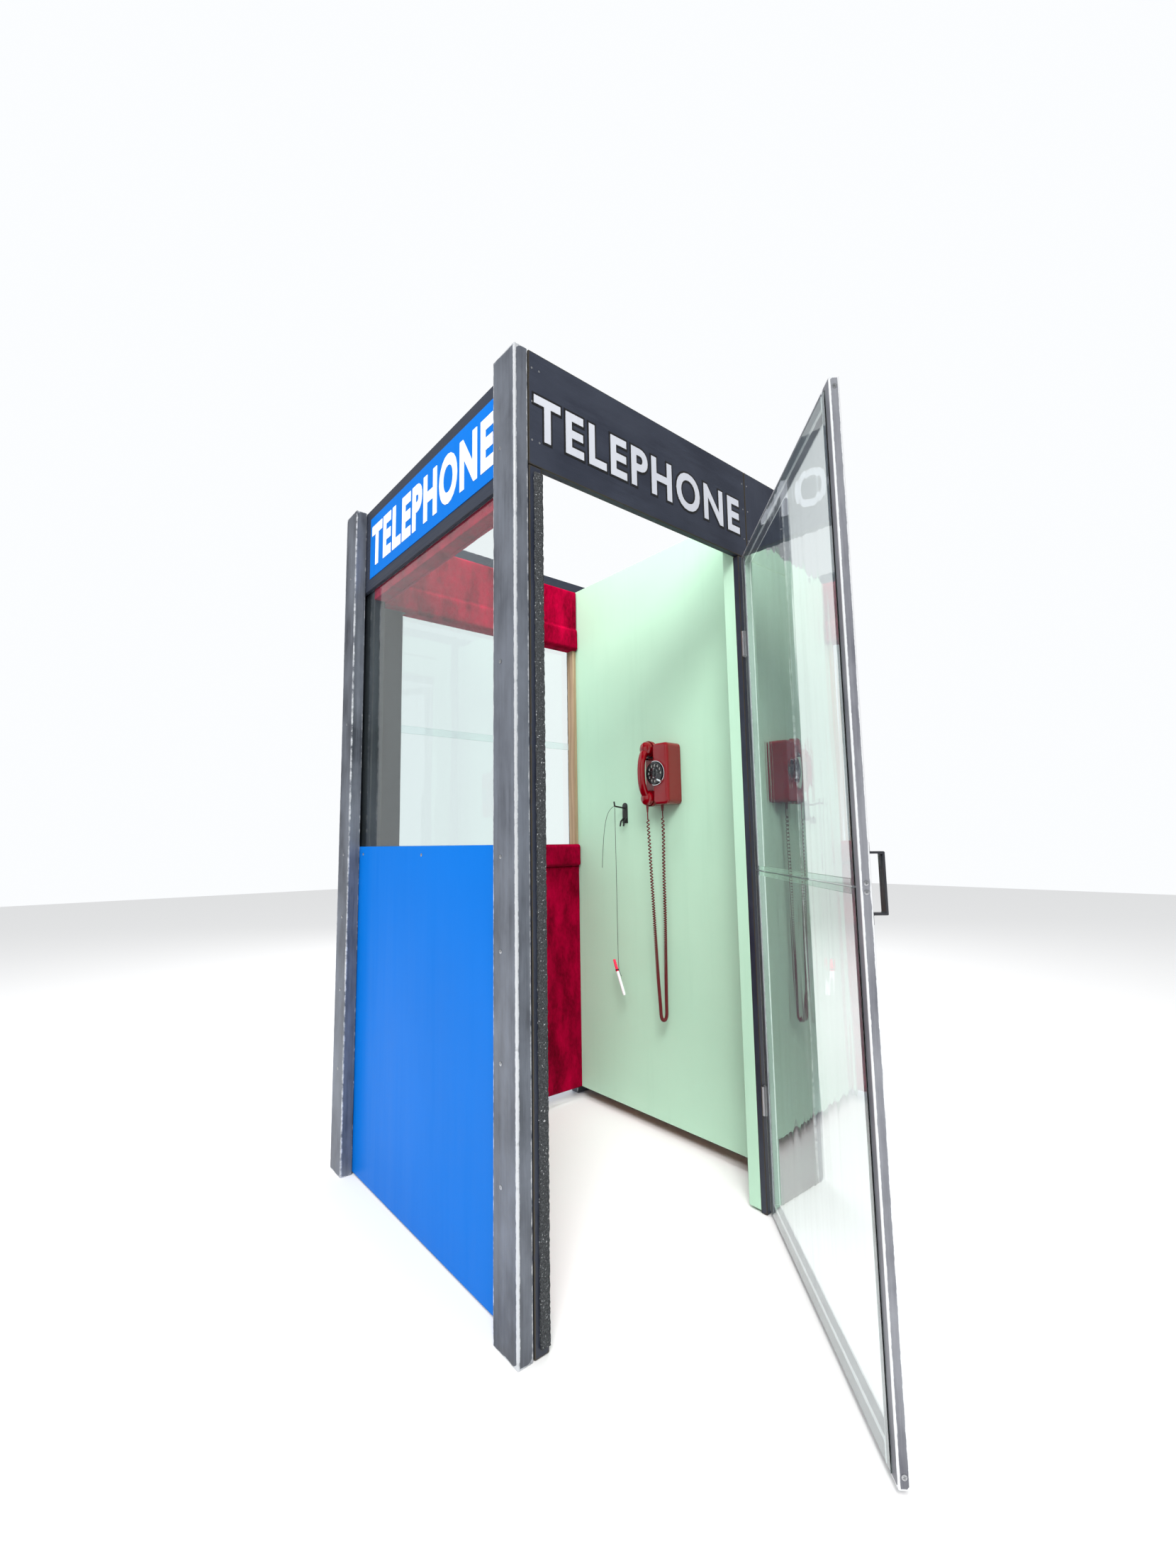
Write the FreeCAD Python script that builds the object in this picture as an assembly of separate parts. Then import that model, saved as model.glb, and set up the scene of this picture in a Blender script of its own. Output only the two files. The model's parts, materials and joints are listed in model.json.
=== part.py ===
import FreeCAD, Part
import math
import os

# A home-built telephone booth: four framed walls with no roof and no floor, a
# glazed door hung on the front, and a rotary wall phone inside. Millimetres.
# X runs from the left wall to the right wall, Y from the front to the back and
# Z up. The origin is the centre of the footprint, on the ground.

# Overall sizes
booth_width = 1108.0
booth_depth = 1032.0
booth_height = 2134.0

# Stock that the booth is cut from
stud_thick = 38.0
stud_wide = 89.0
board_thick = 19.0
ply_thick = 12.0
hardboard_thick = 6.0
glazing_thick = 3.0
joint_gap = 2.0

# Levels of the walls, and the drops from the top of the posts
wall_foot = 45.0
panel_foot = 8.0
sill_level = 997.0
wall_drop = 60.0
header_drop = 3.0
header_height = 283.0
inner_head_drop = 35.0

# Front
fascia_height = 280.0
short_fascia = 209.0
hinge_panel_wide = 257.0
tape_wide = 25.0
tape_thick = 6.0
tape_end_gap = 18.0

# Sign and velvet
sign_border = 37.0
sign_thick = 2.0
velvet_thick = 15.0
velvet_rail_thick = 20.0
splice_wide = 27.0
back_splice_level = 1391.0

# Door
door_foot = 16.0
door_top_gap = 10.0
door_overlap = 22.0
door_frame_thick = 19.0
door_frame_wide = 38.0
door_clear = 0.3
pane_back_off = 20.0
pane_end_off = 6.0
door_splice_level = 905.0
door_open_angle = 47.8
pull_length = 107.0
pull_wide = 20.0
pull_bar = 4.0
pull_reach = 28.0
pull_level = 925.0

# Hinges
hinge_low_rise = 279.0
hinge_high_drop = 266.0
hinge_length = 76.0
pin_inset = 1.0
knuckle_radius = 4.2
knuckle_room = 0.8
pin_radius = 2.5
pin_play = 0.05
leaf_wide = 28.0
leaf_thick = 2.0
knuckle_count = 5
knuckle_gap = 0.4

# Phone: distances out from the wall, sideways towards the back, and up
phone_side = -65.5
phone_level = 1238.0
phone_wide = 139.0
phone_tall = 216.0
phone_low_depth = 38.0
phone_high_depth = 70.0
phone_wall = 2.5
dial_side = -13.5
dial_level = 2.0
dial_margin = 3.0
wheel_radius = 38.0
finger_hole_radius = 6.2
finger_hole_rim = 4.3
finger_count = 10
finger_step = 30.0
ear_level = 93.0
mouth_level = -83.0
cap_radius = 29.5
cap_depth = 18.0
cap_clear = 0.5
cap_margin = 6.5
grip_wide = 30.0
cord_coil = 12.5

# Wall hook and marker
hook_side = 214.0
hook_level = 1060.0
hook_reach = 55.0
marker_radius = 5.6
cap_length = 44.0
barrel_length = 98.0
string_thick = 1.6

os.makedirs("parts", exist_ok=True)
left = -booth_width / 2
right = booth_width / 2
front = -booth_depth / 2
back = booth_depth / 2
clad_left = left + stud_thick
frame_left = clad_left + ply_thick
inner_left = frame_left + stud_thick
clad_right = right - stud_thick
frame_right = clad_right - ply_thick
mint_back = frame_right - stud_wide
mint_face = mint_back - hardboard_thick
clad_back = back - stud_thick
frame_back = clad_back - ply_thick
inner_back = frame_back - stud_thick
board_back = front + board_thick
wall_top = booth_height - wall_drop
header_top = booth_height - header_drop
window_head = header_top - header_height
inner_head = window_head - inner_head_drop
fascia_foot = booth_height - fascia_height
fascia_left = clad_left + joint_gap
fascia_right = clad_right - joint_gap
strike_right = clad_left + stud_thick
hinge_panel_left = fascia_right - hinge_panel_wide
hinge_x = hinge_panel_left + pin_inset
hinge_y = front - knuckle_radius
door_inner = front - tape_thick - door_clear
door_face = door_inner - glazing_thick
door_outer = door_face - door_frame_thick
door_left = strike_right - door_overlap
door_right = hinge_x - knuckle_radius - knuckle_room
door_head = fascia_foot - door_top_gap


def vec(x, y, z):
    return FreeCAD.Vector(x, y, z)


def block(x0, x1, y0, y1, z0, z1):
    return Part.makeBox(x1 - x0, y1 - y0, z1 - z0, vec(x0, y0, z0))


def rod(radius, start, end):
    path = end - start
    return Part.makeCylinder(radius, path.Length, start, path)


def cone(radius_start, radius_end, start, end):
    path = end - start
    return Part.makeCone(radius_start, radius_end, path.Length, start, path)


def save(name, *solids):
    shape = solids[0] if len(solids) == 1 else Part.makeCompound(list(solids))
    shape.exportStep("parts/" + name + ".step")


def opened(shape):
    """A piece of the closed door, swung to its rest position."""
    turned = shape.copy()
    turned.rotate(vec(hinge_x, hinge_y, 0), vec(0, 0, 1), door_open_angle)
    return turned


def tube(points, radius):
    """Straight runs joined by tangent arcs, swept with a round section.

    Each arc takes 0.45 of the shorter run beside it, as a tangent length."""
    edges = []
    radii = []
    start = points[0]
    for before, corner, after in zip(points, points[1:], points[2:]):
        into = corner - before
        out = after - corner
        turn = into.getAngle(out)
        tangent = 0.45 * min(into.Length, out.Length)
        radii.append(round(tangent / math.tan(turn / 2), 1))
        into.normalize()
        out.normalize()
        arc_in = corner - into * tangent
        arc_out = corner + out * tangent
        chord = (arc_in + arc_out) * 0.5
        inward = chord - corner
        rise = radii[-1] * (1 / math.cos(turn / 2) - 1)
        inward.normalize()
        edges.append(Part.LineSegment(start, arc_in).toShape())
        edges.append(Part.Arc(arc_in, corner + inward * rise, arc_out).toShape())
        start = arc_out
    edges.append(Part.LineSegment(start, points[-1]).toShape())
    path = Part.Wire(edges)
    heading = points[1] - points[0]
    section = Part.Wire(Part.makeCircle(radius, points[0], heading))
    solid = path.makePipeShell([section], True, False)
    length = path.Length
    print("tube radii", radii, "length", round(length, 1),
          "volume ratio", round(solid.Volume / (math.pi * radius ** 2 * length), 4))
    return solid


# Corner posts and the battens on the back wall
post_backs = {"front": (front, front + stud_wide), "back": (back - stud_wide, back)}
for end, (y0, y1) in post_backs.items():
    save(end + "_left_post", block(left, clad_left, y0, y1, 0, booth_height))
    save(end + "_right_post", block(clad_right, right, y0, y1, 0, booth_height))
save("back_wall_battens",
     block(clad_left, clad_left + stud_wide, clad_back, back, 0, booth_height),
     block(clad_right - stud_wide, clad_right, clad_back, back, 0, booth_height))


back_jamb_wide = 18.0    # the back wall's end stud is only a batten on the mint wall


def flat_frame(start, end, member, end_wide=stud_wide):
    """Stud frame of a windowed wall: four rails between two full-height studs.

    member(a0, a1, z0, z1) gives one piece of it, from a0 to a1 along the wall."""
    rail_levels = (wall_foot, sill_level - stud_wide, inner_head, wall_top - stud_wide)
    members = [member(start, start + stud_wide, wall_foot, wall_top),
               member(end - end_wide, end, wall_foot, wall_top)]
    for z0 in rail_levels:
        members.append(member(start + stud_wide, end - end_wide, z0, z0 + stud_wide))
    return members


def left_member(y0, y1, z0, z1):
    return block(frame_left, inner_left, y0, y1, z0, z1)


def back_member(x0, x1, z0, z1):
    return block(x0, x1, inner_back, frame_back, z0, z1)


save("left_wall_frame", *flat_frame(board_back, frame_back, left_member))
save("back_wall_frame", *flat_frame(inner_left, mint_face, back_member, back_jamb_wide))

# Right wall: studs on edge between two plates
right_studs = []
stud_count = 4
stud_pitch = (frame_back - board_back - stud_thick) / (stud_count - 1)
for index in range(stud_count):
    y0 = board_back + index * stud_pitch
    right_studs.append(block(mint_back, frame_right, y0, y0 + stud_thick,
                             wall_foot + stud_thick, wall_top - stud_thick))
plates = [block(mint_back, frame_right, board_back, frame_back, z0, z0 + stud_thick)
          for z0 in (wall_foot, wall_top - stud_thick)]
save("right_wall_frame", *(right_studs + plates))

# Front wall: hinge stud and the two rails behind the fascia
front_rail_rise = 31.0    # keeps the lower rail out of sight behind the fascia
front_rail_foot = fascia_foot + front_rail_rise
front_rails = ((front_rail_foot, front_rail_foot + stud_wide), (wall_top - stud_wide, wall_top))
front_stud_back = board_back + stud_thick
front_members = [block(hinge_panel_left, hinge_panel_left + stud_wide, board_back,
                       front_stud_back, panel_foot, wall_top)]
for z0, z1 in front_rails:
    front_members.append(block(inner_left, hinge_panel_left, board_back,
                               front_stud_back, z0, z1))
save("front_wall_frame", *front_members)

# Boards and trim on the front
seam = fascia_right - short_fascia - joint_gap
save("fascia_boards",
     block(fascia_left, seam, front, board_back, fascia_foot, booth_height),
     block(seam + joint_gap, fascia_right, front, board_back, fascia_foot, booth_height))
save("strike_trim", block(fascia_left, strike_right, front, board_back,
                          joint_gap, fascia_foot - joint_gap))
save("hinge_panel", block(hinge_panel_left, fascia_right, front, board_back,
                          joint_gap, fascia_foot - joint_gap))
save("foam_tape", block(strike_right - tape_wide, strike_right, front - tape_thick,
                        front, tape_end_gap, fascia_foot - tape_end_gap))

# Left and back walls: header boards, signs, lower panels, glazing
save("left_header_board", block(clad_left, frame_left, board_back, clad_back,
                                window_head, header_top))
save("back_header_board", block(frame_left, frame_right, frame_back, clad_back,
                                window_head, header_top))
save("sign_panels",
     block(clad_left - sign_thick, clad_left,
           front + stud_wide + sign_border, back - stud_wide - sign_border,
           window_head + sign_border, header_top - sign_border),
     block(clad_left + stud_wide + sign_border, clad_right - stud_wide - sign_border,
           clad_back, clad_back + sign_thick,
           window_head + sign_border, header_top - sign_border))
save("left_lower_panel", block(clad_left, frame_left, board_back, clad_back,
                               panel_foot, sill_level))
save("back_lower_panel", block(frame_left, frame_right, frame_back, clad_back,
                               wall_foot, sill_level))
save("left_window_pane", block(frame_left - glazing_thick, frame_left, board_back,
                               clad_back, sill_level, window_head))
save("back_window_pane", block(frame_left, frame_right, frame_back,
                               frame_back + glazing_thick, sill_level, window_head))
save("back_window_splice",
     block(inner_left + stud_wide, mint_face - back_jamb_wide, frame_back - glazing_thick,
           frame_back, back_splice_level, back_splice_level + splice_wide))
save("right_outer_panel", block(frame_right, clad_right, board_back, clad_back,
                                panel_foot, wall_top))
save("mint_wall_panel", block(mint_face, mint_back, board_back, frame_back,
                              wall_foot, wall_top))

# Velvet-covered boards inside the left and back walls
back_velvet_left = inner_left + velvet_rail_thick
back_velvet_top = inner_head + stud_wide
left_velvet_back = inner_back - velvet_rail_thick - joint_gap


def velvet_levels():
    """Bottom, top and thickness of the header board and of the two rails."""
    return ((back_velvet_top, wall_top, velvet_thick),
            (inner_head, back_velvet_top, velvet_rail_thick),
            (sill_level - stud_wide, sill_level, velvet_rail_thick))


save("left_velvet_rails",
     *[block(inner_left, inner_left + thick, board_back + stud_thick, left_velvet_back,
             z0, z1) for z0, z1, thick in velvet_levels()])
save("back_velvet_rails",
     *[block(inner_left, mint_face, inner_back - thick, inner_back, z0, z1)
       for z0, z1, thick in velvet_levels()])
save("left_lower_velvet", block(inner_left, inner_left + velvet_thick,
                                board_back + stud_thick, left_velvet_back,
                                wall_foot, sill_level - stud_wide))
save("back_lower_velvet", block(inner_left + velvet_rail_thick, mint_face,
                                inner_back - velvet_thick, inner_back,
                                wall_foot, sill_level - stud_wide))

# Screw heads on the posts and panels
screw_head = 4.5
screw_proud = 1.5
post_screw_levels = (309.0, 548.0, 774.0, 972.0, 1400.0, booth_height - 231.0)
post_screw_inset = 31.0
back_screw_inset = 40.0
panel_screw_places = (front + stud_wide + 14.0, -10.0, back - stud_wide - 30.0)
panel_screw_level = sill_level - 24.0
post_screws = []
for z in post_screw_levels:
    for y in (front + stud_wide - post_screw_inset, back - stud_wide + back_screw_inset):
        post_screws.append(rod(screw_head, vec(left, y, z), vec(left - screw_proud, y, z)))
        post_screws.append(rod(screw_head, vec(right, y, z), vec(right + screw_proud, y, z)))
for x in (clad_left + stud_wide / 2, clad_right - stud_wide / 2):
    for z in post_screw_levels:
        post_screws.append(rod(screw_head, vec(x, back, z), vec(x, back + screw_proud, z)))
for y in panel_screw_places:
    post_screws.append(rod(screw_head, vec(clad_left, y, panel_screw_level),
                           vec(clad_left - screw_proud, y, panel_screw_level)))
save("post_screws", *post_screws)

# Nail heads on the fascia, in pairs at its ends and down both sides of the seam
nail_head = 2.6
nail_proud = 0.8
nail_ups = (60.0, 155.0, 238.0)
nail_acrosses = (fascia_left + 9.0, fascia_left + 30.0, seam - 11.0, seam + 13.0,
                 fascia_right - 15.0)
fascia_nails = []
for x in nail_acrosses:
    for up in nail_ups:
        z = fascia_foot + up
        fascia_nails.append(rod(nail_head, vec(x, front, z), vec(x, front - nail_proud, z)))
save("fascia_nails", *fascia_nails)

# Door frame and glazing, built closed and then swung open
rail_left = door_left + door_frame_wide
rail_right = door_right - door_frame_wide
save("door_hinge_stile", opened(block(rail_right, door_right, door_outer, door_face,
                                      door_foot, door_head)))
free_stile = block(door_left, rail_left, door_outer, door_face, door_foot, door_head)
save("door_free_stile", opened(free_stile))
save("door_top_rail", opened(block(rail_left, rail_right, door_outer, door_face,
                                   door_head - door_frame_wide, door_head)))
save("door_bottom_rail", opened(block(rail_left, rail_right, door_outer, door_face,
                                      door_foot, door_foot + door_frame_wide)))
pane_left = door_left + pane_back_off
pane_right = door_right - pane_end_off
pane_split = door_splice_level + splice_wide / 2
save("door_lower_pane", opened(block(pane_left, pane_right, door_face, door_inner,
                                     door_foot + pane_end_off, pane_split - joint_gap / 2)))
save("door_upper_pane", opened(block(pane_left, pane_right, door_face, door_inner,
                                     pane_split + joint_gap / 2,
                                     door_head - pane_end_off * 2)))
save("door_splice_strip", opened(block(rail_left, rail_right, door_face - glazing_thick,
                                       door_face, door_splice_level,
                                       door_splice_level + splice_wide)))

# Pull: a flat bar bent to a U, standing off the free stile
pull_x = door_left + door_frame_wide / 2
pull_z0 = pull_level - pull_length / 2
pull_z1 = pull_level + pull_length / 2
pull = block(pull_x - pull_wide / 2, pull_x + pull_wide / 2, door_outer - pull_reach,
             door_outer, pull_z0, pull_z1)
pull_gap = block(pull_x - pull_wide, pull_x + pull_wide,
                 door_outer - pull_reach + pull_bar, door_outer + 1.0,
                 pull_z0 + pull_bar, pull_z1 - pull_bar)
pull_feet = [block(pull_x - pull_wide / 2, pull_x + pull_wide / 2, door_outer - pull_bar,
                   door_outer, z0, z0 + pull_wide)
             for z0 in (pull_z0 - pull_wide + pull_bar, pull_z1 - pull_bar)]
pull = pull.cut(pull_gap).fuse(pull_feet).removeSplitter()
save("door_pull", opened(pull))

# Screw heads on the door: at the pull's feet, on the free edge and on the strip
door_screws = []
for z in (pull_z0 - pull_wide / 2 + pull_bar, pull_z1 + pull_wide / 2 - pull_bar):
    door_screws.append(rod(screw_head - 1.0, vec(pull_x, door_outer - pull_bar, z),
                           vec(pull_x, door_outer - pull_bar - screw_proud, z)))
edge_mid = (door_outer + door_face) / 2
for z in (door_foot + 19.0, door_splice_level + 6.0, door_splice_level + 21.0,
          door_head - 19.0):
    door_screws.append(rod(screw_head, vec(door_left, edge_mid, z),
                           vec(door_left - screw_proud, edge_mid, z)))
save("door_screws", *[opened(screw) for screw in door_screws])

# Butt hinges: alternate knuckles on each leaf, round one pin
knuckle_step = hinge_length / knuckle_count
hinge_bore = pin_radius + pin_play


def knuckles(z0, which):
    """The knuckles of one leaf, as (low, high) levels with half a gap off each end."""
    spans = []
    for index in which:
        low = z0 + index * knuckle_step + knuckle_gap / 2
        spans.append((low, low + knuckle_step - knuckle_gap))
    return spans


def hinge_leaf(plate, own, others, bore):
    """A plate with its knuckles, cleared for the other leaf's knuckles."""
    for low, high in others:
        plate = plate.cut(rod(knuckle_radius + knuckle_gap,
                              vec(hinge_x, hinge_y, low - knuckle_gap),
                              vec(hinge_x, hinge_y, high + knuckle_gap)))
    rolls = [rod(knuckle_radius, vec(hinge_x, hinge_y, low), vec(hinge_x, hinge_y, high))
             for low, high in own]
    leaf = plate.fuse(rolls).removeSplitter()
    low = own[0][0] - knuckle_step * 2
    high = own[-1][1] + knuckle_step * 2
    return leaf.cut(rod(bore, vec(hinge_x, hinge_y, low), vec(hinge_x, hinge_y, high)))


fixed_leaves = []
door_leaves = []
pins = []
for level in (door_foot + hinge_low_rise, door_head - hinge_high_drop):
    z0 = level - hinge_length / 2
    z1 = z0 + hinge_length
    fixed = knuckles(z0, (0, 2, 4))
    moving = knuckles(z0, (1, 3))
    fixed_plate = block(hinge_x, hinge_x + leaf_wide, front - leaf_thick, front, z0, z1)
    door_plate = block(door_right, door_right + leaf_thick, door_outer, hinge_y, z0, z1)
    fixed_leaves.append(hinge_leaf(fixed_plate, fixed, moving, pin_radius))
    door_leaves.append(opened(hinge_leaf(door_plate, moving, fixed, hinge_bore)))
    pins.append(rod(pin_radius, vec(hinge_x, hinge_y, z0), vec(hinge_x, hinge_y, z1)))
save("hinge_fixed_leaves", *fixed_leaves)
save("hinge_door_leaves", *door_leaves)
save("hinge_pins", *pins)


# Phone. at() turns (out from the wall, sideways, up) into booth coordinates.
def at(out, side, up):
    return vec(mint_face - out, phone_side + side, phone_level + up)


def phone_block(out0, out1, side0, side1, up0, up1):
    return block(mint_face - out1, mint_face - out0, phone_side + side0,
                 phone_side + side1, phone_level + up0, phone_level + up1)


def disc(radius, out0, out1, side, up):
    return rod(radius, at(out0, side, up), at(out1, side, up))


half_wide = phone_wide / 2
half_tall = phone_tall / 2
corner_radius = 14.0
handset_side = half_wide - cap_margin - cap_radius
low_edge = handset_side - cap_radius - cap_clear
dial_radius = wheel_radius + dial_margin
finger_circle = wheel_radius - finger_hole_radius - finger_hole_rim

# Parts of the hook that the casing's slot has to clear
prong_side = grip_wide / 2 + 2.0
prong_wide = 4.0
prong_thick = 6.0
prong_top = ear_level - cap_radius - 0.8
ear_gap = prong_side + prong_wide + 1.0


def rounded_block(out0, out1, side0, side1, up0, up1, radius):
    """A block whose four edges along the out direction are rounded."""
    shape = phone_block(out0, out1, side0, side1, up0, up1)
    along = [edge for edge in shape.Edges
             if abs(edge.tangentAt(edge.FirstParameter).x) > 0.99]
    return shape.makeFillet(radius, along)


def housing_form(inset):
    """The phone's casing, taken in by inset on every side but the back."""
    low = rounded_block(0, phone_low_depth - inset, -half_wide + inset, half_wide - inset,
                        -half_tall + inset, half_tall - inset, corner_radius - inset)
    high = rounded_block(0, phone_high_depth - inset, -half_wide + inset,
                         low_edge - inset, -half_tall + inset, half_tall - inset,
                         corner_radius - inset)
    drum = disc(dial_radius + 3.0 - inset, 0, phone_high_depth - inset,
                dial_side, dial_level)
    return low.fuse([high, drum]).removeSplitter()


# Casing, open for the hook's prongs, the dial mechanism and the cord
slot_below = 8.7
slot_above = 10.3
dial_hole_radius = 36.0
relief_side = 2.5
relief_out = 23.0
relief_neck = 4.5
cut_over = 5.0
housing = housing_form(0.0).cut(housing_form(phone_wall))
housing = housing.cut(disc(dial_hole_radius, phone_low_depth + cut_over,
                           phone_high_depth + cut_over, dial_side, dial_level))
housing = housing.cut(phone_block(phone_low_depth - phone_wall - 1.0, phone_low_depth + 1.0,
                                  handset_side - ear_gap - 1.0, handset_side + ear_gap + 1.0,
                                  prong_top - slot_below, prong_top + slot_above))
housing = housing.cut(rod(relief_neck, at(relief_out, relief_side, -half_tall - cut_over),
                          at(relief_out, relief_side, -half_tall + cut_over)))
save("phone_housing", housing)

# Backplate with the two ears that carry the hook's pivot pin
plate_inset = 8.0
backplate_thick = 2.0
pivot_out = 14.0
pivot_up = prong_top - 5.7
pivot_radius = 2.0
pin_overhang = 3.0
ear_half_thick = 1.0
plate_ears = [phone_block(backplate_thick, pivot_out + 5.0,
                          side - ear_half_thick, side + ear_half_thick,
                          pivot_up - prong_thick, pivot_up + prong_thick)
              for side in (handset_side - ear_gap, handset_side + ear_gap)]
pivot_pin = rod(pivot_radius, at(pivot_out, handset_side - ear_gap - pin_overhang, pivot_up),
                at(pivot_out, handset_side + ear_gap + pin_overhang, pivot_up))
backplate = phone_block(0, backplate_thick, -half_wide + plate_inset, half_wide - plate_inset,
                        -half_tall + plate_inset, half_tall - plate_inset)
save("phone_backplate", backplate.fuse(plate_ears + [pivot_pin]).removeSplitter())

# Hook lever: a cross bar on the pin and two prongs under the ear cap
bar_half_wide = ear_gap - 2 * ear_half_thick
bar_half_tall = 4.0
bar_front = 32.0
prong_end = 76.0
prong_tip = 4.0
prong_lip = 3.0
lever = phone_block(pivot_out - 6.0, bar_front, handset_side - bar_half_wide,
                    handset_side + bar_half_wide, pivot_up - bar_half_tall,
                    pivot_up + bar_half_tall)
prongs = []
for side0 in (handset_side - prong_side - prong_wide, handset_side + prong_side):
    prongs.append(phone_block(bar_front - prong_tip, prong_end, side0, side0 + prong_wide,
                              prong_top - prong_thick, prong_top))
    prongs.append(phone_block(prong_end - prong_tip, prong_end, side0, side0 + prong_wide,
                              prong_top - prong_thick, prong_top + prong_lip))
lever = lever.fuse(prongs).removeSplitter()
lever = lever.cut(rod(pivot_radius + pin_play, at(pivot_out, handset_side - ear_gap, pivot_up),
                      at(pivot_out, handset_side + ear_gap, pivot_up)))
save("hook_lever", lever)

# Dial: number plate with its bright rim and finger stop, wheel, mechanism
plate_out = phone_high_depth
plate_thick = 2.5
plate_bore = 9.0
rim_wide = 2.5
rim_thick = 4.0
wheel_out = plate_out + 5.5
wheel_thick = 2.5
card_thick = 1.2
card_radius = finger_circle - finger_hole_radius - 5.3
spindle_radius = 4.0
spindle_start = 60.0
number_plate = disc(dial_radius, plate_out, plate_out + plate_thick, dial_side, dial_level)
number_plate = number_plate.cut(disc(plate_bore, plate_out - 1.0, plate_out + rim_thick,
                                     dial_side, dial_level))
rim = disc(dial_radius + rim_wide, plate_out, plate_out + rim_thick, dial_side, dial_level)
rim = rim.cut(disc(dial_radius, plate_out - 1.0, plate_out + rim_thick + 1.0,
                   dial_side, dial_level))

# The finger stop rises beside the wheel and reaches over it, between two holes
stop_turn = 23.0
stop_thick = 2.0
stop_clear = 0.6
stop_reach = 16.6
stop_low_up = dial_level - 19.0
stop_high_up = dial_level - 13.0
stop_edge = dial_side - wheel_radius - stop_clear
stop_top_out = wheel_out + wheel_thick + card_thick
stop_foot = phone_block(plate_out + plate_thick, stop_top_out + stop_thick - 0.2,
                        stop_edge - stop_thick, stop_edge, stop_low_up, stop_high_up)
stop_arm = phone_block(stop_top_out, stop_top_out + stop_thick - 0.2,
                       stop_edge - stop_thick, stop_edge + stop_reach,
                       stop_low_up, stop_high_up)
stop = stop_foot.fuse(stop_arm).removeSplitter()
stop.rotate(at(0, dial_side, dial_level), vec(1, 0, 0), stop_turn)
save("dial_plate", number_plate, rim, stop)

wheel = disc(wheel_radius, wheel_out, wheel_out + wheel_thick, dial_side, dial_level)
for index in range(finger_count):
    turn = math.radians(finger_step * index)
    side = dial_side - finger_circle * math.cos(turn)
    up = dial_level + finger_circle * math.sin(turn)
    wheel = wheel.cut(disc(finger_hole_radius, wheel_out - 1.0, wheel_out + wheel_thick + 1.0,
                           side, up))
spindle = disc(spindle_radius, spindle_start, wheel_out, dial_side, dial_level)
card = disc(card_radius, wheel_out + wheel_thick, wheel_out + wheel_thick + card_thick,
            dial_side, dial_level)
save("finger_wheel", wheel.fuse(spindle).removeSplitter(), card)

mechanism_radius = dial_hole_radius - 3.0
mechanism_back = 42.0
mechanism_gap = 0.5
mechanism = disc(mechanism_radius, mechanism_back, phone_high_depth - mechanism_gap,
                 dial_side, dial_level)
mechanism = mechanism.cut(disc(spindle_radius + pin_play, spindle_start - cut_over,
                               phone_high_depth, dial_side, dial_level))
save("dial_mechanism", mechanism)

# Ringer: two gongs on posts, the coil between them, and the network block
gong_sides = (-47.0, -6.0)
gong_up = -72.0
gong_radius = 17.0
gong_wall = 1.5
gong_back = 22.0
gong_front = 32.0
gong_post = 2.5
ringer = []
for side in gong_sides:
    cup = disc(gong_radius, gong_back, gong_front, side, gong_up)
    cup = cup.cut(disc(gong_radius - gong_wall, gong_back - 1.0, gong_front - gong_wall,
                       side, gong_up))
    post = disc(gong_post, backplate_thick, gong_front - gong_wall / 2, side, gong_up)
    ringer.append(cup.fuse(post).removeSplitter())
ringer.append(phone_block(backplate_thick, gong_back - 4.0, -36.0, -17.0, -92.0, -52.0))
ringer.append(phone_block(backplate_thick, 34.0, -58.0, -4.0, 55.0, 92.0))
save("ringer", *ringer)

# Handset: a bridged grip between an ear cap and a mouth cap
cap_lift = 1.5
head_inset = 3.0
head_out = phone_low_depth + cap_lift + cap_depth
head_top = ear_level + cap_radius - head_inset
head_foot = mouth_level - cap_radius + head_inset
shoulder_out = head_out + 24.0
shoulder_drop = 7.0
bow_out = head_out + 46.0
bow_level = (ear_level + mouth_level) / 2
bow_thick = 18.0
waist_out = head_out + 17.0
waist_run = 36.0
cap_inside = 22.0
grip_points = {
    "ear_back": (head_out, head_top),
    "ear_top": (shoulder_out, head_top - shoulder_drop),
    "bow_top": (bow_out, bow_level),
    "mouth_top": (shoulder_out, head_foot + shoulder_drop),
    "mouth_back": (head_out, head_foot),
    "mouth_in": (head_out, mouth_level + cap_inside),
    "waist_low": (waist_out, mouth_level + waist_run),
    "bow_in": (bow_out - bow_thick, bow_level),
    "waist_high": (waist_out, ear_level - waist_run),
    "ear_in": (head_out, ear_level - cap_inside)}
grip_at = {name: at(out, handset_side - grip_wide / 2, up)
           for name, (out, up) in grip_points.items()}


def grip_line(start, end):
    return Part.LineSegment(grip_at[start], grip_at[end]).toShape()


def grip_arc(start, middle, end):
    return Part.Arc(grip_at[start], grip_at[middle], grip_at[end]).toShape()


outline = Part.Wire([
    grip_line("ear_back", "ear_top"), grip_arc("ear_top", "bow_top", "mouth_top"),
    grip_line("mouth_top", "mouth_back"), grip_line("mouth_back", "mouth_in"),
    grip_line("mouth_in", "waist_low"), grip_arc("waist_low", "bow_in", "waist_high"),
    grip_line("waist_high", "ear_in"), grip_line("ear_in", "ear_back")])
grip = Part.Face(outline).extrude(vec(0, grip_wide, 0))
boss_depth = 12.0
bosses = [disc(cap_radius - head_inset, head_out, head_out + boss_depth, handset_side, level)
          for level in (ear_level, mouth_level)]
save("handset_grip", grip.fuse(bosses).removeSplitter())

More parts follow.
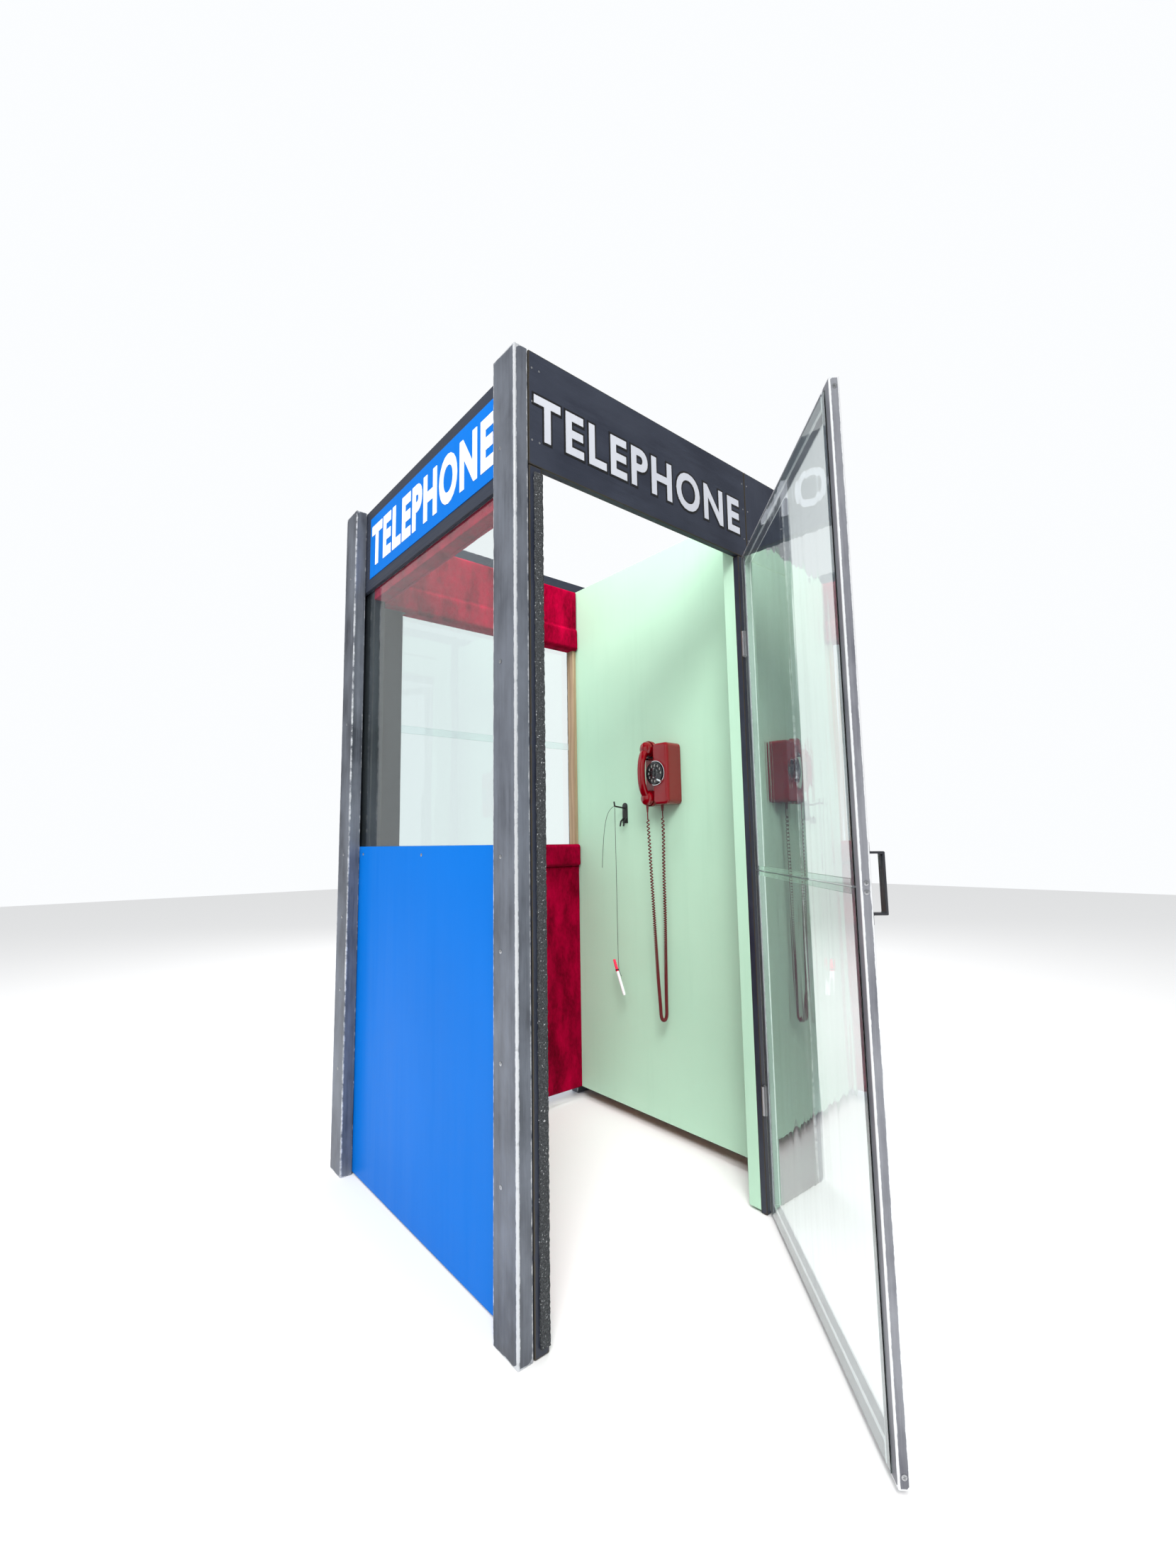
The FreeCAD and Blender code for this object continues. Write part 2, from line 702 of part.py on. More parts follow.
cap_round = 4.0
capsule_depth = 13.0
capsules = []
for name, level in (("ear_cap", ear_level), ("mouth_cap", mouth_level)):
    shell = disc(cap_radius, head_out - cap_depth, head_out, handset_side, level)
    wall_end = mint_face - head_out + cap_depth
    rim_edges = [edge for edge in shell.Edges
                 if edge.BoundBox.XLength < 0.01 and edge.BoundBox.XMin > wall_end - 0.1]
    shell = shell.makeFillet(cap_round, rim_edges)
    hollow = disc(cap_radius - phone_wall, head_out - cap_depth + phone_wall,
                  head_out + 1.0, handset_side, level)
    save(name, shell.cut(hollow))
    capsules.append(disc(cap_radius - phone_wall - 1.0, head_out - capsule_depth, head_out,
                         handset_side, level))
save("handset_capsules", *capsules)

# Strain reliefs: a cone under the handset, and one with a neck in the casing's hole
relief_length = 24.0
phone_relief_length = 20.0
cord_clear = 0.4
cord_out = head_out + 9.0
handset_relief = cone(5.0, 3.2, at(cord_out, handset_side, head_foot),
                      at(cord_out, handset_side, head_foot - relief_length))
save("handset_relief", handset_relief)
relief_inside = rod(relief_neck, at(relief_out, relief_side, -half_tall + cut_over),
                    at(relief_out, relief_side, -half_tall))
relief_cone = cone(6.0, 3.6, at(relief_out, relief_side, -half_tall),
                   at(relief_out, relief_side, -half_tall - phone_relief_length))
save("phone_relief", relief_inside.fuse(relief_cone))

# Route of the cord, as (out, side, up) from the phone's centre
cord_route = (
    (cord_out, handset_side, head_foot - relief_length - cord_clear),
    (cord_out, handset_side, -163.0),
    (cord_out - 0.4, handset_side - 3.5, -216.0),
    (cord_out - 2.0, handset_side - 7.0, -318.0),
    (cord_out - 3.0, handset_side - 16.0, -503.0),
    (cord_out - 5.6, handset_side - 22.5, -684.0),
    (cord_out - 7.5, handset_side - 29.0, -785.0),
    (cord_out - 7.8, handset_side - 31.0, -838.0),
    (30.5, 2.4, -839.0),
    (30.0, 3.6, -787.0),
    (29.4, 2.6, -690.0),
    (25.0, 2.0, -505.0),
    (24.0, 3.6, -322.0),
    (21.0, 2.6, -222.0),
    (relief_out, relief_side, -168.0),
    (relief_out, relief_side, -half_tall - phone_relief_length))
save("phone_cord", tube([at(*point) for point in cord_route], cord_coil / 2))


# Wall hook: a plate with an upper arm that reaches out and two short lower prongs
def hook_at(out, side, up):
    return vec(mint_face - out, phone_side + hook_side + side, hook_level + up)


def hook_bar(start, end, radius):
    return rod(radius, hook_at(*start), hook_at(*end))


hook_plate_thick = 3.0
hook_plate_half = 13.0
hook_plate_foot = 14.0
hook_plate_top = 78.0
hook_rod = 3.0
arm_up = 70.0
arm_elbow = (hook_reach, 0, arm_up + 7.0)
arm_end = (hook_reach + 3.0, 0, arm_up + 24.0)
plate_side = phone_side + hook_side
hook_plate = block(mint_face - hook_plate_thick, mint_face, plate_side - hook_plate_half,
                   plate_side + hook_plate_half, hook_level + hook_plate_foot,
                   hook_level + hook_plate_top)
hook_pieces = [rod(hook_plate_half, hook_at(0, 0, hook_plate_top),
                   hook_at(hook_plate_thick, 0, hook_plate_top)),
               hook_bar((hook_plate_thick - 1.0, 0, arm_up), arm_elbow, hook_rod),
               Part.makeSphere(hook_rod, hook_at(*arm_elbow)),
               hook_bar(arm_elbow, arm_end, hook_rod)]
for side in (-9.0, 9.0):
    prong_root = (hook_plate_thick - 0.1, side, 32.0)
    prong_elbow = (16.0, side, 20.0)
    hook_pieces.append(hook_bar(prong_root, prong_elbow, hook_rod))
    hook_pieces.append(Part.makeSphere(hook_rod, hook_at(*prong_elbow)))
    hook_pieces.append(hook_bar(prong_elbow, (20.0, side, 2.0), hook_rod))
save("wall_hook", hook_plate.fuse(hook_pieces).removeSplitter())

# Marker pen hanging head up from a string, in a plane parallel to the wall
marker_lean = math.radians(23.0)
marker_axis = vec(0, -math.sin(marker_lean), -math.cos(marker_lean))
marker_drop = 487.0
nose_length = 12.0
tip_length = 14.0
tip_radius = 0.8
cap_bore_depth = 34.0
cap_wall = 1.2
marker_play = 0.3
marker_gap = 0.5
marker_top = hook_at(hook_reach, 20.0, -marker_drop)
cap_end = marker_top + marker_axis * cap_length
marker_end = cap_end + marker_axis * (barrel_length - nose_length)
cap_solid = rod(marker_radius, marker_top, cap_end)
cap_bore = rod(marker_radius - cap_wall, cap_end - marker_axis * cap_bore_depth,
               cap_end + marker_axis)
save("marker_cap", cap_solid.cut(cap_bore))
barrel_start = cap_end + marker_axis * marker_gap
nose_start = cap_end - marker_axis * nose_length
nose_radius = marker_radius - cap_wall - marker_play
nose = rod(nose_radius, nose_start, barrel_start)
tip = cone(tip_radius, nose_radius, nose_start - marker_axis * tip_length, nose_start)
body = rod(marker_radius - marker_play, barrel_start, marker_end)
save("marker_barrel", body.fuse([nose, tip]).removeSplitter())

# String from the arm's end down to the cap, and the loose tail of its upper knot
knot_point = hook_at(hook_reach, 0.0, arm_up + 3.2)
tie_point = cap_end - marker_axis * 5.0 + vec(0, -marker_radius - 1.5, 0)
string_route = (knot_point,
                knot_point + vec(0, -1.2, -60.0),
                tie_point + vec(0.0, 0.6, 60.0),
                tie_point + vec(0, -1.0, 0),
                tie_point + vec(0, -9.0, -9.0),
                tie_point + vec(0.8, -13.5, -20.0))
tail_start = hook_at(hook_reach - 1.0, 4.2, arm_up + 7.0)
tail_route = (tail_start, tail_start + vec(-1.0, 22.0, -9.0),
              tail_start + vec(-1.5, 42.0, -38.0), tail_start + vec(0.0, 57.0, -86.0),
              tail_start + vec(1.2, 66.0, -142.0), tail_start + vec(0.4, 71.0, -196.0),
              tail_start + vec(0.0, 72.5, -231.0))
save("marker_string", tube(list(string_route), string_thick / 2))
save("string_tail", tube(list(tail_route), string_thick / 2))
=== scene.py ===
import json
import math
import bpy
import numpy as np
from mathutils import Matrix, Vector


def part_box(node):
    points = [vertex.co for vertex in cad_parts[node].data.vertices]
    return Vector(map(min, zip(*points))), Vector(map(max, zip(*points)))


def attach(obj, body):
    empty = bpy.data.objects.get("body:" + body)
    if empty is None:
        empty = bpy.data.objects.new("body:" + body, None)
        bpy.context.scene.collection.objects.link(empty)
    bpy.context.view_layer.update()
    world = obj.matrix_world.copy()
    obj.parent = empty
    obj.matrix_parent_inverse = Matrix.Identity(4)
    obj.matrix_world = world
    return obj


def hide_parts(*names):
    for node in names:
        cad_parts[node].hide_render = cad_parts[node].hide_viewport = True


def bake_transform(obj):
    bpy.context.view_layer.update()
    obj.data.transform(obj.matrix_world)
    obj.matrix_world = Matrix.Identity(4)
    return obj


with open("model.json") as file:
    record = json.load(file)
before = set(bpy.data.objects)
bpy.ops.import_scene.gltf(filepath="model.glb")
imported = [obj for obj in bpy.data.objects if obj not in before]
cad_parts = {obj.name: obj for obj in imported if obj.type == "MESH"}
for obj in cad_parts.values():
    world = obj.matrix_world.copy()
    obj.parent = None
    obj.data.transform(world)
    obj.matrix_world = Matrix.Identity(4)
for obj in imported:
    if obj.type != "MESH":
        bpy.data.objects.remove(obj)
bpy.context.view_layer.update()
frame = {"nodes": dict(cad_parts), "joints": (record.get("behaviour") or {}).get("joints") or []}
print("frame loaded:", len(frame["nodes"]), "nodes")

mm = 0.001
joints = {joint["name"]: joint for joint in frame["joints"]}
hinge = joints["door_hinge"]
hingeX, hingeY = hinge["pos_m"][0], hinge["pos_m"][1]
doorTurn = -math.radians(hinge["range_deg"][0])   # from closed to where the door stands at rest
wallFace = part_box("mint_wall_panel")[0].x
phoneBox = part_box("phone_housing")
phoneSide = (phoneBox[0].y + phoneBox[1].y) / 2
phoneLevel = (phoneBox[0].z + phoneBox[1].z) / 2


# reading the frame

def meshPoints(mesh):
    points = np.empty(len(mesh.vertices) * 3, np.float32)
    mesh.vertices.foreach_get("co", points)
    return points.reshape(-1, 3).astype(float)


def nodePoints(node, turn=0.0):   # turned back by so much about the hinge line
    points = meshPoints(frame["nodes"][node].data)
    return turned(points, -turn) if turn else points


def linked(name, data):
    made = bpy.data.objects.new(name, data)
    bpy.context.scene.collection.objects.link(made)
    return made


def turned(points, angle):   # about the door's hinge line
    c, s = math.cos(angle), math.sin(angle)
    x, y = points[..., 0] - hingeX, points[..., 1] - hingeY
    return np.stack([hingeX + x * c - y * s, hingeY + x * s + y * c, points[..., 2]], -1)


def turnedDirections(directions, angle):
    c, s = math.cos(angle), math.sin(angle)
    x, y = directions[..., 0], directions[..., 1]
    return np.stack([x * c - y * s, x * s + y * c, directions[..., 2]], -1)


def boxesOf(node, turn=0.0):   # a box has 24 corner points in a row, four to a face
    corners = nodePoints(node, turn).reshape(-1, 24, 3)
    return [(c.min(0), c.max(0)) for c in corners]


def phonePoint(out, side, up):   # out from the wall, sideways to the back, up, in millimetres
    out, side, up = np.broadcast_arrays(np.asarray(out, float), side, up)
    return np.stack([wallFace - out * mm, phoneSide + side * mm, phoneLevel + up * mm], -1)


# surfaces: dictionaries of points, faces and, where they have them, normals, uv and wear

def gridFaces(rows, columns, closed):
    # each cell of the grid is one quad; a closed grid joins its last column to its first
    r = np.arange(rows - 1)[:, None]
    c = np.arange(columns if closed else columns - 1)[None, :]
    n = (c + 1) % columns
    return np.stack(np.broadcast_arrays(r * columns + c, r * columns + n,
                                        (r + 1) * columns + n, (r + 1) * columns + c), -1).reshape(-1, 4)


def gridSurface(points, closed=False, caps=False, flip=False):
    rows, columns = points.shape[:2]
    faces = gridFaces(rows, columns, closed)
    if flip:
        faces = faces[:, ::-1]
    faces = faces.tolist()
    if caps:
        first = list(range(columns))
        last = list(range((rows - 1) * columns, rows * columns))
        faces += [last, first[::-1]] if not flip else [last[::-1], first]
    u, v = np.meshgrid(np.linspace(0, 1, columns), np.linspace(0, 1, rows))
    uv = np.stack([u, v], -1).reshape(-1, 2)
    return {"points": points.reshape(-1, 3), "faces": faces, "uv": uv}


def lathe(profile, start, axis, count=32):
    # a profile of (along, radius) pairs, in metres, carried round the axis; a radius of 0 closes it
    axis = np.asarray(axis, float) / np.linalg.norm(axis)
    helper = np.array([0, 0, 1.0]) if abs(axis[2]) < 0.9 else np.array([1.0, 0, 0])
    across = np.cross(helper, axis)
    across /= np.linalg.norm(across)
    third = np.cross(axis, across)
    angle = np.arange(count) * 2 * math.pi / count
    ring = np.cos(angle)[:, None] * across + np.sin(angle)[:, None] * third
    profile = np.asarray(profile, float)
    points = (np.asarray(start, float) + profile[:, None, :1] * axis
              + profile[:, None, 1:] * ring[None])
    return gridSurface(points, closed=True)


def board(low, high, easing, rng, band=0.008, wander=0.0):
    # a rectangle with rounded corners carried along the longest side, and rounded in at both ends.
    # Wear is 1 on the rounded edges and falls to 0 a band's width on to each face.
    low, high = np.asarray(low, float), np.asarray(high, float)
    size = high - low
    along = int(np.argmax(size))
    first, second = (along + 1) % 3, (along + 2) % 3
    half = np.array([size[first], size[second]]) / 2
    easing = min(easing, 0.45 * half.min())
    band = min(band, 0.6 * (half.min() - easing))
    quarter = np.radians(np.array([0.0, 30.0, 60.0, 90.0]))
    corners = [(1, 1), (-1, 1), (-1, -1), (1, -1)]
    signs, angles, shifts, worn = [], [], [], []
    for corner, sign in enumerate(corners):
        following = corners[(corner + 1) % 4]
        flat = math.pi / 2 * (corner + 1)
        tangent = np.array([-math.sin(flat), math.cos(flat)])
        for a in quarter:
            signs.append(sign)
            angles.append(math.pi / 2 * corner + a)
            shifts.append((0.0, 0.0))
            worn.append(1.0)
        for where, step in ((sign, band), (following, -band)):
            signs.append(where)
            angles.append(flat)
            shifts.append(tangent * step)
            worn.append(0.0)
    signs, angles = np.array(signs, float), np.array(angles)
    shifts, worn = np.array(shifts), np.array(worn)
    normal2 = np.stack([np.cos(angles), np.sin(angles)], -1)

    ease = 0.7 * easing
    middle = np.linspace(ease + band, size[along] - ease - band, 14 if wander else 3)
    flatRun = np.zeros(len(middle))
    endPlace = ease * (1 - np.cos(quarter))
    endInset = ease * (1 - np.sin(quarter))
    place = np.concatenate([endPlace, middle, size[along] - endPlace[::-1]])
    inset = np.concatenate([endInset, flatRun, endInset[::-1]])
    lean = np.concatenate([quarter - math.pi / 2, flatRun, math.pi / 2 - quarter[::-1]])
    wornAlong = np.concatenate([np.ones(4), flatRun, np.ones(4)])

    ring = (signs[None] * (half - easing) + shifts[None]
            + (easing - inset[:, None, None]) * normal2[None])
    if wander:
        phase = rng.uniform(0, 2 * math.pi, (2, 2))
        t = place[:, None] / size[along]
        sway = np.sin(t * 5.2 + phase[0]) * 0.6 + np.sin(t * 11.7 + phase[1]) * 0.4
        ring = ring + (wander * sway * np.sin(t * math.pi))[:, None, :]
    rows, columns = len(place), len(angles)
    points = np.empty((rows, columns, 3))
    points[..., along] = low[along] + place[:, None]
    points[..., first] = (low[first] + high[first]) / 2 + ring[..., 0]
    points[..., second] = (low[second] + high[second]) / 2 + ring[..., 1]
    normals = np.empty((rows, columns, 3))
    normals[..., along] = np.sin(lean)[:, None]
    normals[..., first] = np.cos(lean)[:, None] * normal2[None, :, 0]
    normals[..., second] = np.cos(lean)[:, None] * normal2[None, :, 1]
    wear = np.maximum(wornAlong[:, None], worn[None])
    steps = np.linalg.norm(np.diff(np.vstack([ring[5], ring[5][:1]]), axis=0), axis=1)
    around = np.concatenate([[0], np.cumsum(steps)])[:columns]
    uv = np.stack(np.broadcast_arrays(around[None], place[:, None]), -1) + rng.uniform(0, 9, 2)
    surface = gridSurface(points, closed=True, caps=True)
    surface.update(normals=normals.reshape(-1, 3), wear=wear.ravel(), uv=uv.reshape(-1, 2))
    return surface


def joined(surfaces):
    points, faces, uv, wear, normals, start = [], [], [], [], [], 0
    for surface in surfaces:
        count = len(surface["points"])
        points.append(surface["points"])
        faces += [[i + start for i in face] for face in surface["faces"]]
        uv.append(surface["uv"])
        wear.append(surface.get("wear", np.zeros(count)))
        normals.append(surface.get("normals", np.zeros((count, 3))))
        start += count
    whole = {"points": np.concatenate(points), "faces": faces, "uv": np.concatenate(uv),
             "wear": np.concatenate(wear), "normals": np.concatenate(normals)}
    if not all("normals" in surface for surface in surfaces):
        del whole["normals"]
    return whole


def makePiece(name, surfaces, material, body, nodes=(), turn=0.0, merge=False, sharp=None):
    whole = joined(surfaces)
    points = turned(whole["points"], turn) if turn else whole["points"]
    mesh = bpy.data.meshes.new(name)
    mesh.from_pydata(points.tolist(), [], whole["faces"])
    corner = np.empty(len(mesh.loops), np.int32)
    mesh.loops.foreach_get("vertex_index", corner)
    layer = mesh.uv_layers.new(name="grain")
    layer.data.foreach_set("uv", whole["uv"][corner].astype(np.float32).ravel())
    attribute = mesh.attributes.new("wear", "FLOAT", "POINT")
    attribute.data.foreach_set("value", whole["wear"].astype(np.float32))
    mesh.shade_smooth()
    if "normals" in whole:
        normals = turnedDirections(whole["normals"], turn) if turn else whole["normals"]
        mesh.normals_split_custom_set_from_vertices(normals.tolist())
    if merge:
        mergeDoubles(mesh)
    if sharp is not None:
        mesh.set_sharp_from_angle(angle=math.radians(sharp))
    mesh.materials.append(material)
    return settle(linked(name, mesh), body, nodes)


def mergeDoubles(mesh, outward=True):
    import bmesh
    work = bmesh.new()
    work.from_mesh(mesh)
    bmesh.ops.remove_doubles(work, verts=work.verts, dist=1e-6)
    if outward:
        bmesh.ops.recalc_face_normals(work, faces=work.faces)
    work.to_mesh(mesh)
    work.free()


def settle(piece, body, nodes=()):
    if body:
        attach(piece, body)
    if nodes:
        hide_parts(*nodes)
    return piece


def easedCopy(name, node, width, material, body, angle=40):
    # a copy of a CAD node's mesh, merged, with its sharp edges rounded
    mesh = frame["nodes"][node].data.copy()
    mesh.name = name
    mergeDoubles(mesh, outward=False)
    mesh.shade_smooth()
    mesh.set_sharp_from_angle(angle=math.radians(angle))
    mesh.materials.clear()
    mesh.materials.append(material)
    piece = linked(name, mesh)
    bevel = piece.modifiers.new("eased", "BEVEL")
    bevel.width = width
    bevel.segments = 2
    bevel.limit_method = "ANGLE"
    bevel.angle_limit = math.radians(angle)
    bevel.harden_normals = True
    return settle(piece, body, (node,))


# shader building

def feed(tree, socket, value):   # a link, where the value is another node's output
    if isinstance(value, bpy.types.NodeSocket):
        tree.links.new(value, socket)
    else:
        socket.default_value = value


def addNode(tree, kind, values=None, **fields):
    node = tree.nodes.new("ShaderNode" + kind)
    for field, value in fields.items():
        setattr(node, field, value)
    for socket, value in (values or {}).items():
        feed(tree, node.inputs[socket], value)
    return node


def newGroup(name, inputs, outputs):
    group = bpy.data.node_groups.new(name, "ShaderNodeTree")
    for socket, value in inputs.items():
        made = group.interface.new_socket(name=socket, in_out="INPUT", socket_type="NodeSocketFloat")
        made.default_value = value
    for socket in outputs:
        group.interface.new_socket(name=socket, in_out="OUTPUT", socket_type="NodeSocketFloat")
    return group, group.nodes.new("NodeGroupInput")


def useGroup(tree, group, **values):
    node = tree.nodes.new("ShaderNodeGroup")
    node.node_tree = group
    for socket, value in values.items():
        feed(tree, node.inputs[socket], value)
    return node


def closeGroup(group, results):
    out = group.nodes.new("NodeGroupOutput")
    for socket, value in results.items():
        group.links.new(value, out.inputs[socket])


def stretchedNoise(tree, along, across, detail=4.0, roughness=0.6, uv=True, third=None):
    # noise whose cells are 1/across wide and 1/along long, on the board's own uv or on Object coordinates
    if uv:
        source = addNode(tree, "UVMap", uv_map="grain").outputs["UV"]
    else:
        source = addNode(tree, "TexCoord").outputs["Object"]
    scale = addNode(tree, "Mapping", {"Vector": source, "Scale": (across, along, third or across)})
    return addNode(tree, "TexNoise", {"Vector": scale.outputs["Vector"], "Scale": 1.0,
                                      "Detail": detail, "Roughness": roughness}).outputs["Fac"]


def ranged(tree, value, low, high, outLow=0.0, outHigh=1.0):
    return addNode(tree, "MapRange", {"Value": value, "From Min": low, "From Max": high,
                                      "To Min": outLow, "To Max": outHigh}).outputs["Result"]


def maths(tree, operation, a, b=0.0, clamp=False):
    return addNode(tree, "Math", {0: a, 1: b}, operation=operation, use_clamp=clamp).outputs[0]


def weighted(tree, pairs, clamp=False):   # the sum of the values, each times its weight
    terms = [value if weight == 1 else maths(tree, "MULTIPLY", value, weight) for value, weight in pairs]
    total = terms[0]
    for index, term in enumerate(terms[1:], start=2):
        total = maths(tree, "ADD", total, term, clamp and index == len(terms))
    return total


def mixed(tree, factor, a, b):
    first, second = [c if isinstance(c, bpy.types.NodeSocket) else (*c, 1.0) for c in (a, b)]
    return addNode(tree, "Mix", {0: factor, 6: first, 7: second}, data_type="RGBA").outputs[2]


def makeWornGroup():
    # wear broken up by noise: bare where wear plus noise passes the level
    group, source = newGroup("worn edges", {"Level": 0.75, "Size": 60.0}, ["Mask"])
    wear = addNode(group, "Attribute", attribute_name="wear").outputs["Fac"]
    place = addNode(group, "TexCoord").outputs["Object"]
    noise = addNode(group, "TexNoise", {"Vector": place, "Scale": source.outputs["Size"],
                                        "Detail": 5.0, "Roughness": 0.65}).outputs["Fac"]
    total = weighted(group, [(wear, 0.75), (noise, 0.6)])
    over = maths(group, "SUBTRACT", total, source.outputs["Level"])
    closeGroup(group, {"Mask": maths(group, "MULTIPLY", over, 6.0, clamp=True)})
    return group


def makeRubbedGroup():
    # dry-brushed paint: long streaks times wide blotches
    group, source = newGroup("rubbed paint", {"Amount": 1.0, "Threshold": 0.45}, ["Mask", "Height"])
    streaks = stretchedNoise(group, 3.0, 70.0, 6.0, 0.7)
    blotches = stretchedNoise(group, 5.0, 11.0, 4.0, 0.55)
    patches = stretchedNoise(group, 1.4, 4.0, 2.0, 0.5)
    total = weighted(group, [(streaks, 0.45), (blotches, 0.6), (patches, 0.45)])
    over = maths(group, "SUBTRACT", total, source.outputs["Threshold"])
    mask = maths(group, "MULTIPLY", over, 3.2, clamp=True)
    closeGroup(group, {"Mask": maths(group, "MULTIPLY", mask, source.outputs["Amount"]), "Height": streaks})
    return group


def makeGritGroup():
    # fine speckle, as a height
    group, source = newGroup("grit", {"Size": 600.0}, ["Height"])
    place = addNode(group, "TexCoord").outputs["Object"]
    noise = addNode(group, "TexNoise", {"Vector": place, "Scale": source.outputs["Size"],
                                        "Detail": 3.0}).outputs["Fac"]
    closeGroup(group, {"Height": noise})
    return group


wornGroup = makeWornGroup()
rubbedGroup = makeRubbedGroup()
gritGroup = makeGritGroup()


def newMaterial(name, **constants):
    material = bpy.data.materials.new(name)
    material.use_nodes = True
    tree = material.node_tree
    shader = tree.nodes["Principled BSDF"]
    for socket, value in constants.items():
        shader.inputs[socket.replace("_", " ")].default_value = value
    return material, tree, shader


def bumped(tree, shader, height, strength, distance):
    bump = addNode(tree, "Bump", {"Height": height, "Strength": strength, "Distance": distance})
    tree.links.new(bump.outputs["Normal"], shader.inputs["Normal"])


def rubbedPaint(name, dark, silver, edge, amount, threshold, edgeLevel, roughness):
    # dark paint, dry-brushed with aluminium along the grain and rubbed bright on the edges
    material, tree, shader = newMaterial(name, IOR=1.5)
    rubbed = useGroup(tree, rubbedGroup, Amount=amount, Threshold=threshold)
    worn = useGroup(tree, wornGroup, Level=edgeLevel, Size=45.0)
    grit = useGroup(tree, gritGroup, Size=420.0)
    colour = mixed(tree, rubbed.outputs["Mask"], dark, silver)
    colour = mixed(tree, worn.outputs["Mask"], colour, edge)
    tree.links.new(colour, shader.inputs["Base Color"])
    metal = maths(tree, "MAXIMUM", rubbed.outputs["Mask"], worn.outputs["Mask"])
    tree.links.new(maths(tree, "MULTIPLY", metal, 0.55), shader.inputs["Metallic"])
    tree.links.new(ranged(tree, rubbed.outputs["Height"], 0.3, 0.7, *roughness), shader.inputs["Roughness"])
    height = weighted(tree, [(rubbed.outputs["Height"], 1), (grit.outputs["Height"], 0.25)])
    bumped(tree, shader, height, 0.35, 0.0015)
    return material


def bareWood(name, light, dark):
    # softwood: growth lines are bands of the uv's width, pushed about by noise along the grain
    material, tree, shader = newMaterial(name, Roughness=0.62)
    warp = stretchedNoise(tree, 1.5, 12.0, 3.0, 0.5)
    uv = addNode(tree, "SeparateXYZ", {"Vector": addNode(tree, "UVMap", uv_map="grain").outputs["UV"]})
    bands = weighted(tree, [(uv.outputs["X"], 160.0), (warp, 26.0)])
    lines = ranged(tree, maths(tree, "SINE", bands), -0.6, 1.0)
    fibre = stretchedNoise(tree, 8.0, 420.0, 3.0, 0.7)
    tone = weighted(tree, [(lines, 0.6), (fibre, 0.5)], clamp=True)
    tree.links.new(mixed(tree, tone, light, dark), shader.inputs["Base Color"])
    bumped(tree, shader, fibre, 0.3, 0.0006)
    return material


def flatPaint(name, colour, deeper, roughness, stippled, streaked, coat=0.0, shine=0.5):
    # an even coat of paint: slow drifts of tone, roller stipple, and faint upright streaks
    material, tree, shader = newMaterial(name, Coat_Weight=coat, Coat_Roughness=0.12,
                                         Specular_IOR_Level=shine)
    drift = stretchedNoise(tree, 2.2, 2.2, 3.0, 0.5, uv=False)
    runs = stretchedNoise(tree, 26.0, 26.0, 3.0, 0.6, uv=False, third=1.6)
    drifts = ranged(tree, drift, 0.35, 0.7, 0.0, 0.6)
    streaks = maths(tree, "MULTIPLY", ranged(tree, runs, 0.55, 0.8), streaked)
    tone = maths(tree, "ADD", drifts, streaks, clamp=True)
    tree.links.new(mixed(tree, tone, colour, deeper), shader.inputs["Base Color"])
    rough = ranged(tree, runs, 0.3, 0.7, roughness - 0.05, roughness + 0.08)
    tree.links.new(rough, shader.inputs["Roughness"])
    stipple = useGroup(tree, gritGroup, Size=260.0)
    bumped(tree, shader, stipple.outputs["Height"], stippled, 0.001)
    return material


def velvetCloth(name, deep, lit):
    # crushed pile: patches of pile lie different ways; painted sheen and shade: noise mixes a lit and a
    # shaded tone into the colour
    material, tree, shader = newMaterial(name, Roughness=0.85, Sheen_Weight=0.35, Sheen_Roughness=0.4,
                                         Sheen_Tint=(1.0, 0.04, 0.18, 1.0), Specular_IOR_Level=0.04)
    crush = stretchedNoise(tree, 16.0, 16.0, 5.0, 0.65, uv=False, third=7.0)
    fine = stretchedNoise(tree, 120.0, 120.0, 4.0, 0.7, uv=False, third=60.0)
    tone = maths(tree, "ADD", ranged(tree, crush, 0.35, 0.72, 0.0, 0.75),
                 ranged(tree, fine, 0.35, 0.8, 0.0, 0.4), clamp=True)
    # painted sheen and shade: deep is the velvet's shaded tone and lit its lit tone; the raised crush gets
    # the lit tone and its hollows the shaded one
    tree.links.new(mixed(tree, tone, deep, lit), shader.inputs["Base Color"])
    pile = useGroup(tree, gritGroup, Size=1500.0)
    height = weighted(tree, [(crush, 2.0), (pile.outputs["Height"], 0.4)])
    bumped(tree, shader, height, 0.35, 0.002)
    return material


def clearAcrylic(name, tint, edge):
    # clear sheet that lets shadow rays by; its cut rim, where wear is 1, shows pale and milky
    material, tree, shader = newMaterial(name, IOR=1.49, Transmission_Weight=1.0)
    wear = addNode(tree, "Attribute", attribute_name="wear").outputs["Fac"]
    rim = ranged(tree, wear, 0.6, 0.9)
    scuffs = stretchedNoise(tree, 40.0, 40.0, 6.0, 0.75, uv=False, third=14.0)
    tree.links.new(mixed(tree, rim, tint, edge), shader.inputs["Base Color"])
    rough = weighted(tree, [(ranged(tree, scuffs, 0.55, 0.8, 0.015, 0.07), 1), (rim, 0.4)])
    tree.links.new(rough, shader.inputs["Roughness"])
    waves = stretchedNoise(tree, 14.0, 14.0, 2.0, 0.5, uv=False, third=1.2)
    bumped(tree, shader, waves, 0.12, 0.004)
    clear = addNode(tree, "BsdfTransparent", {"Color": (0.93, 0.97, 0.96, 1.0)})
    shadow = addNode(tree, "LightPath").outputs["Is Shadow Ray"]
    mix = addNode(tree, "MixShader", {0: shadow, 1: shader.outputs[0], 2: clear.outputs[0]})
    tree.links.new(mix.outputs[0], tree.nodes["Material Output"].inputs["Surface"])
    return material


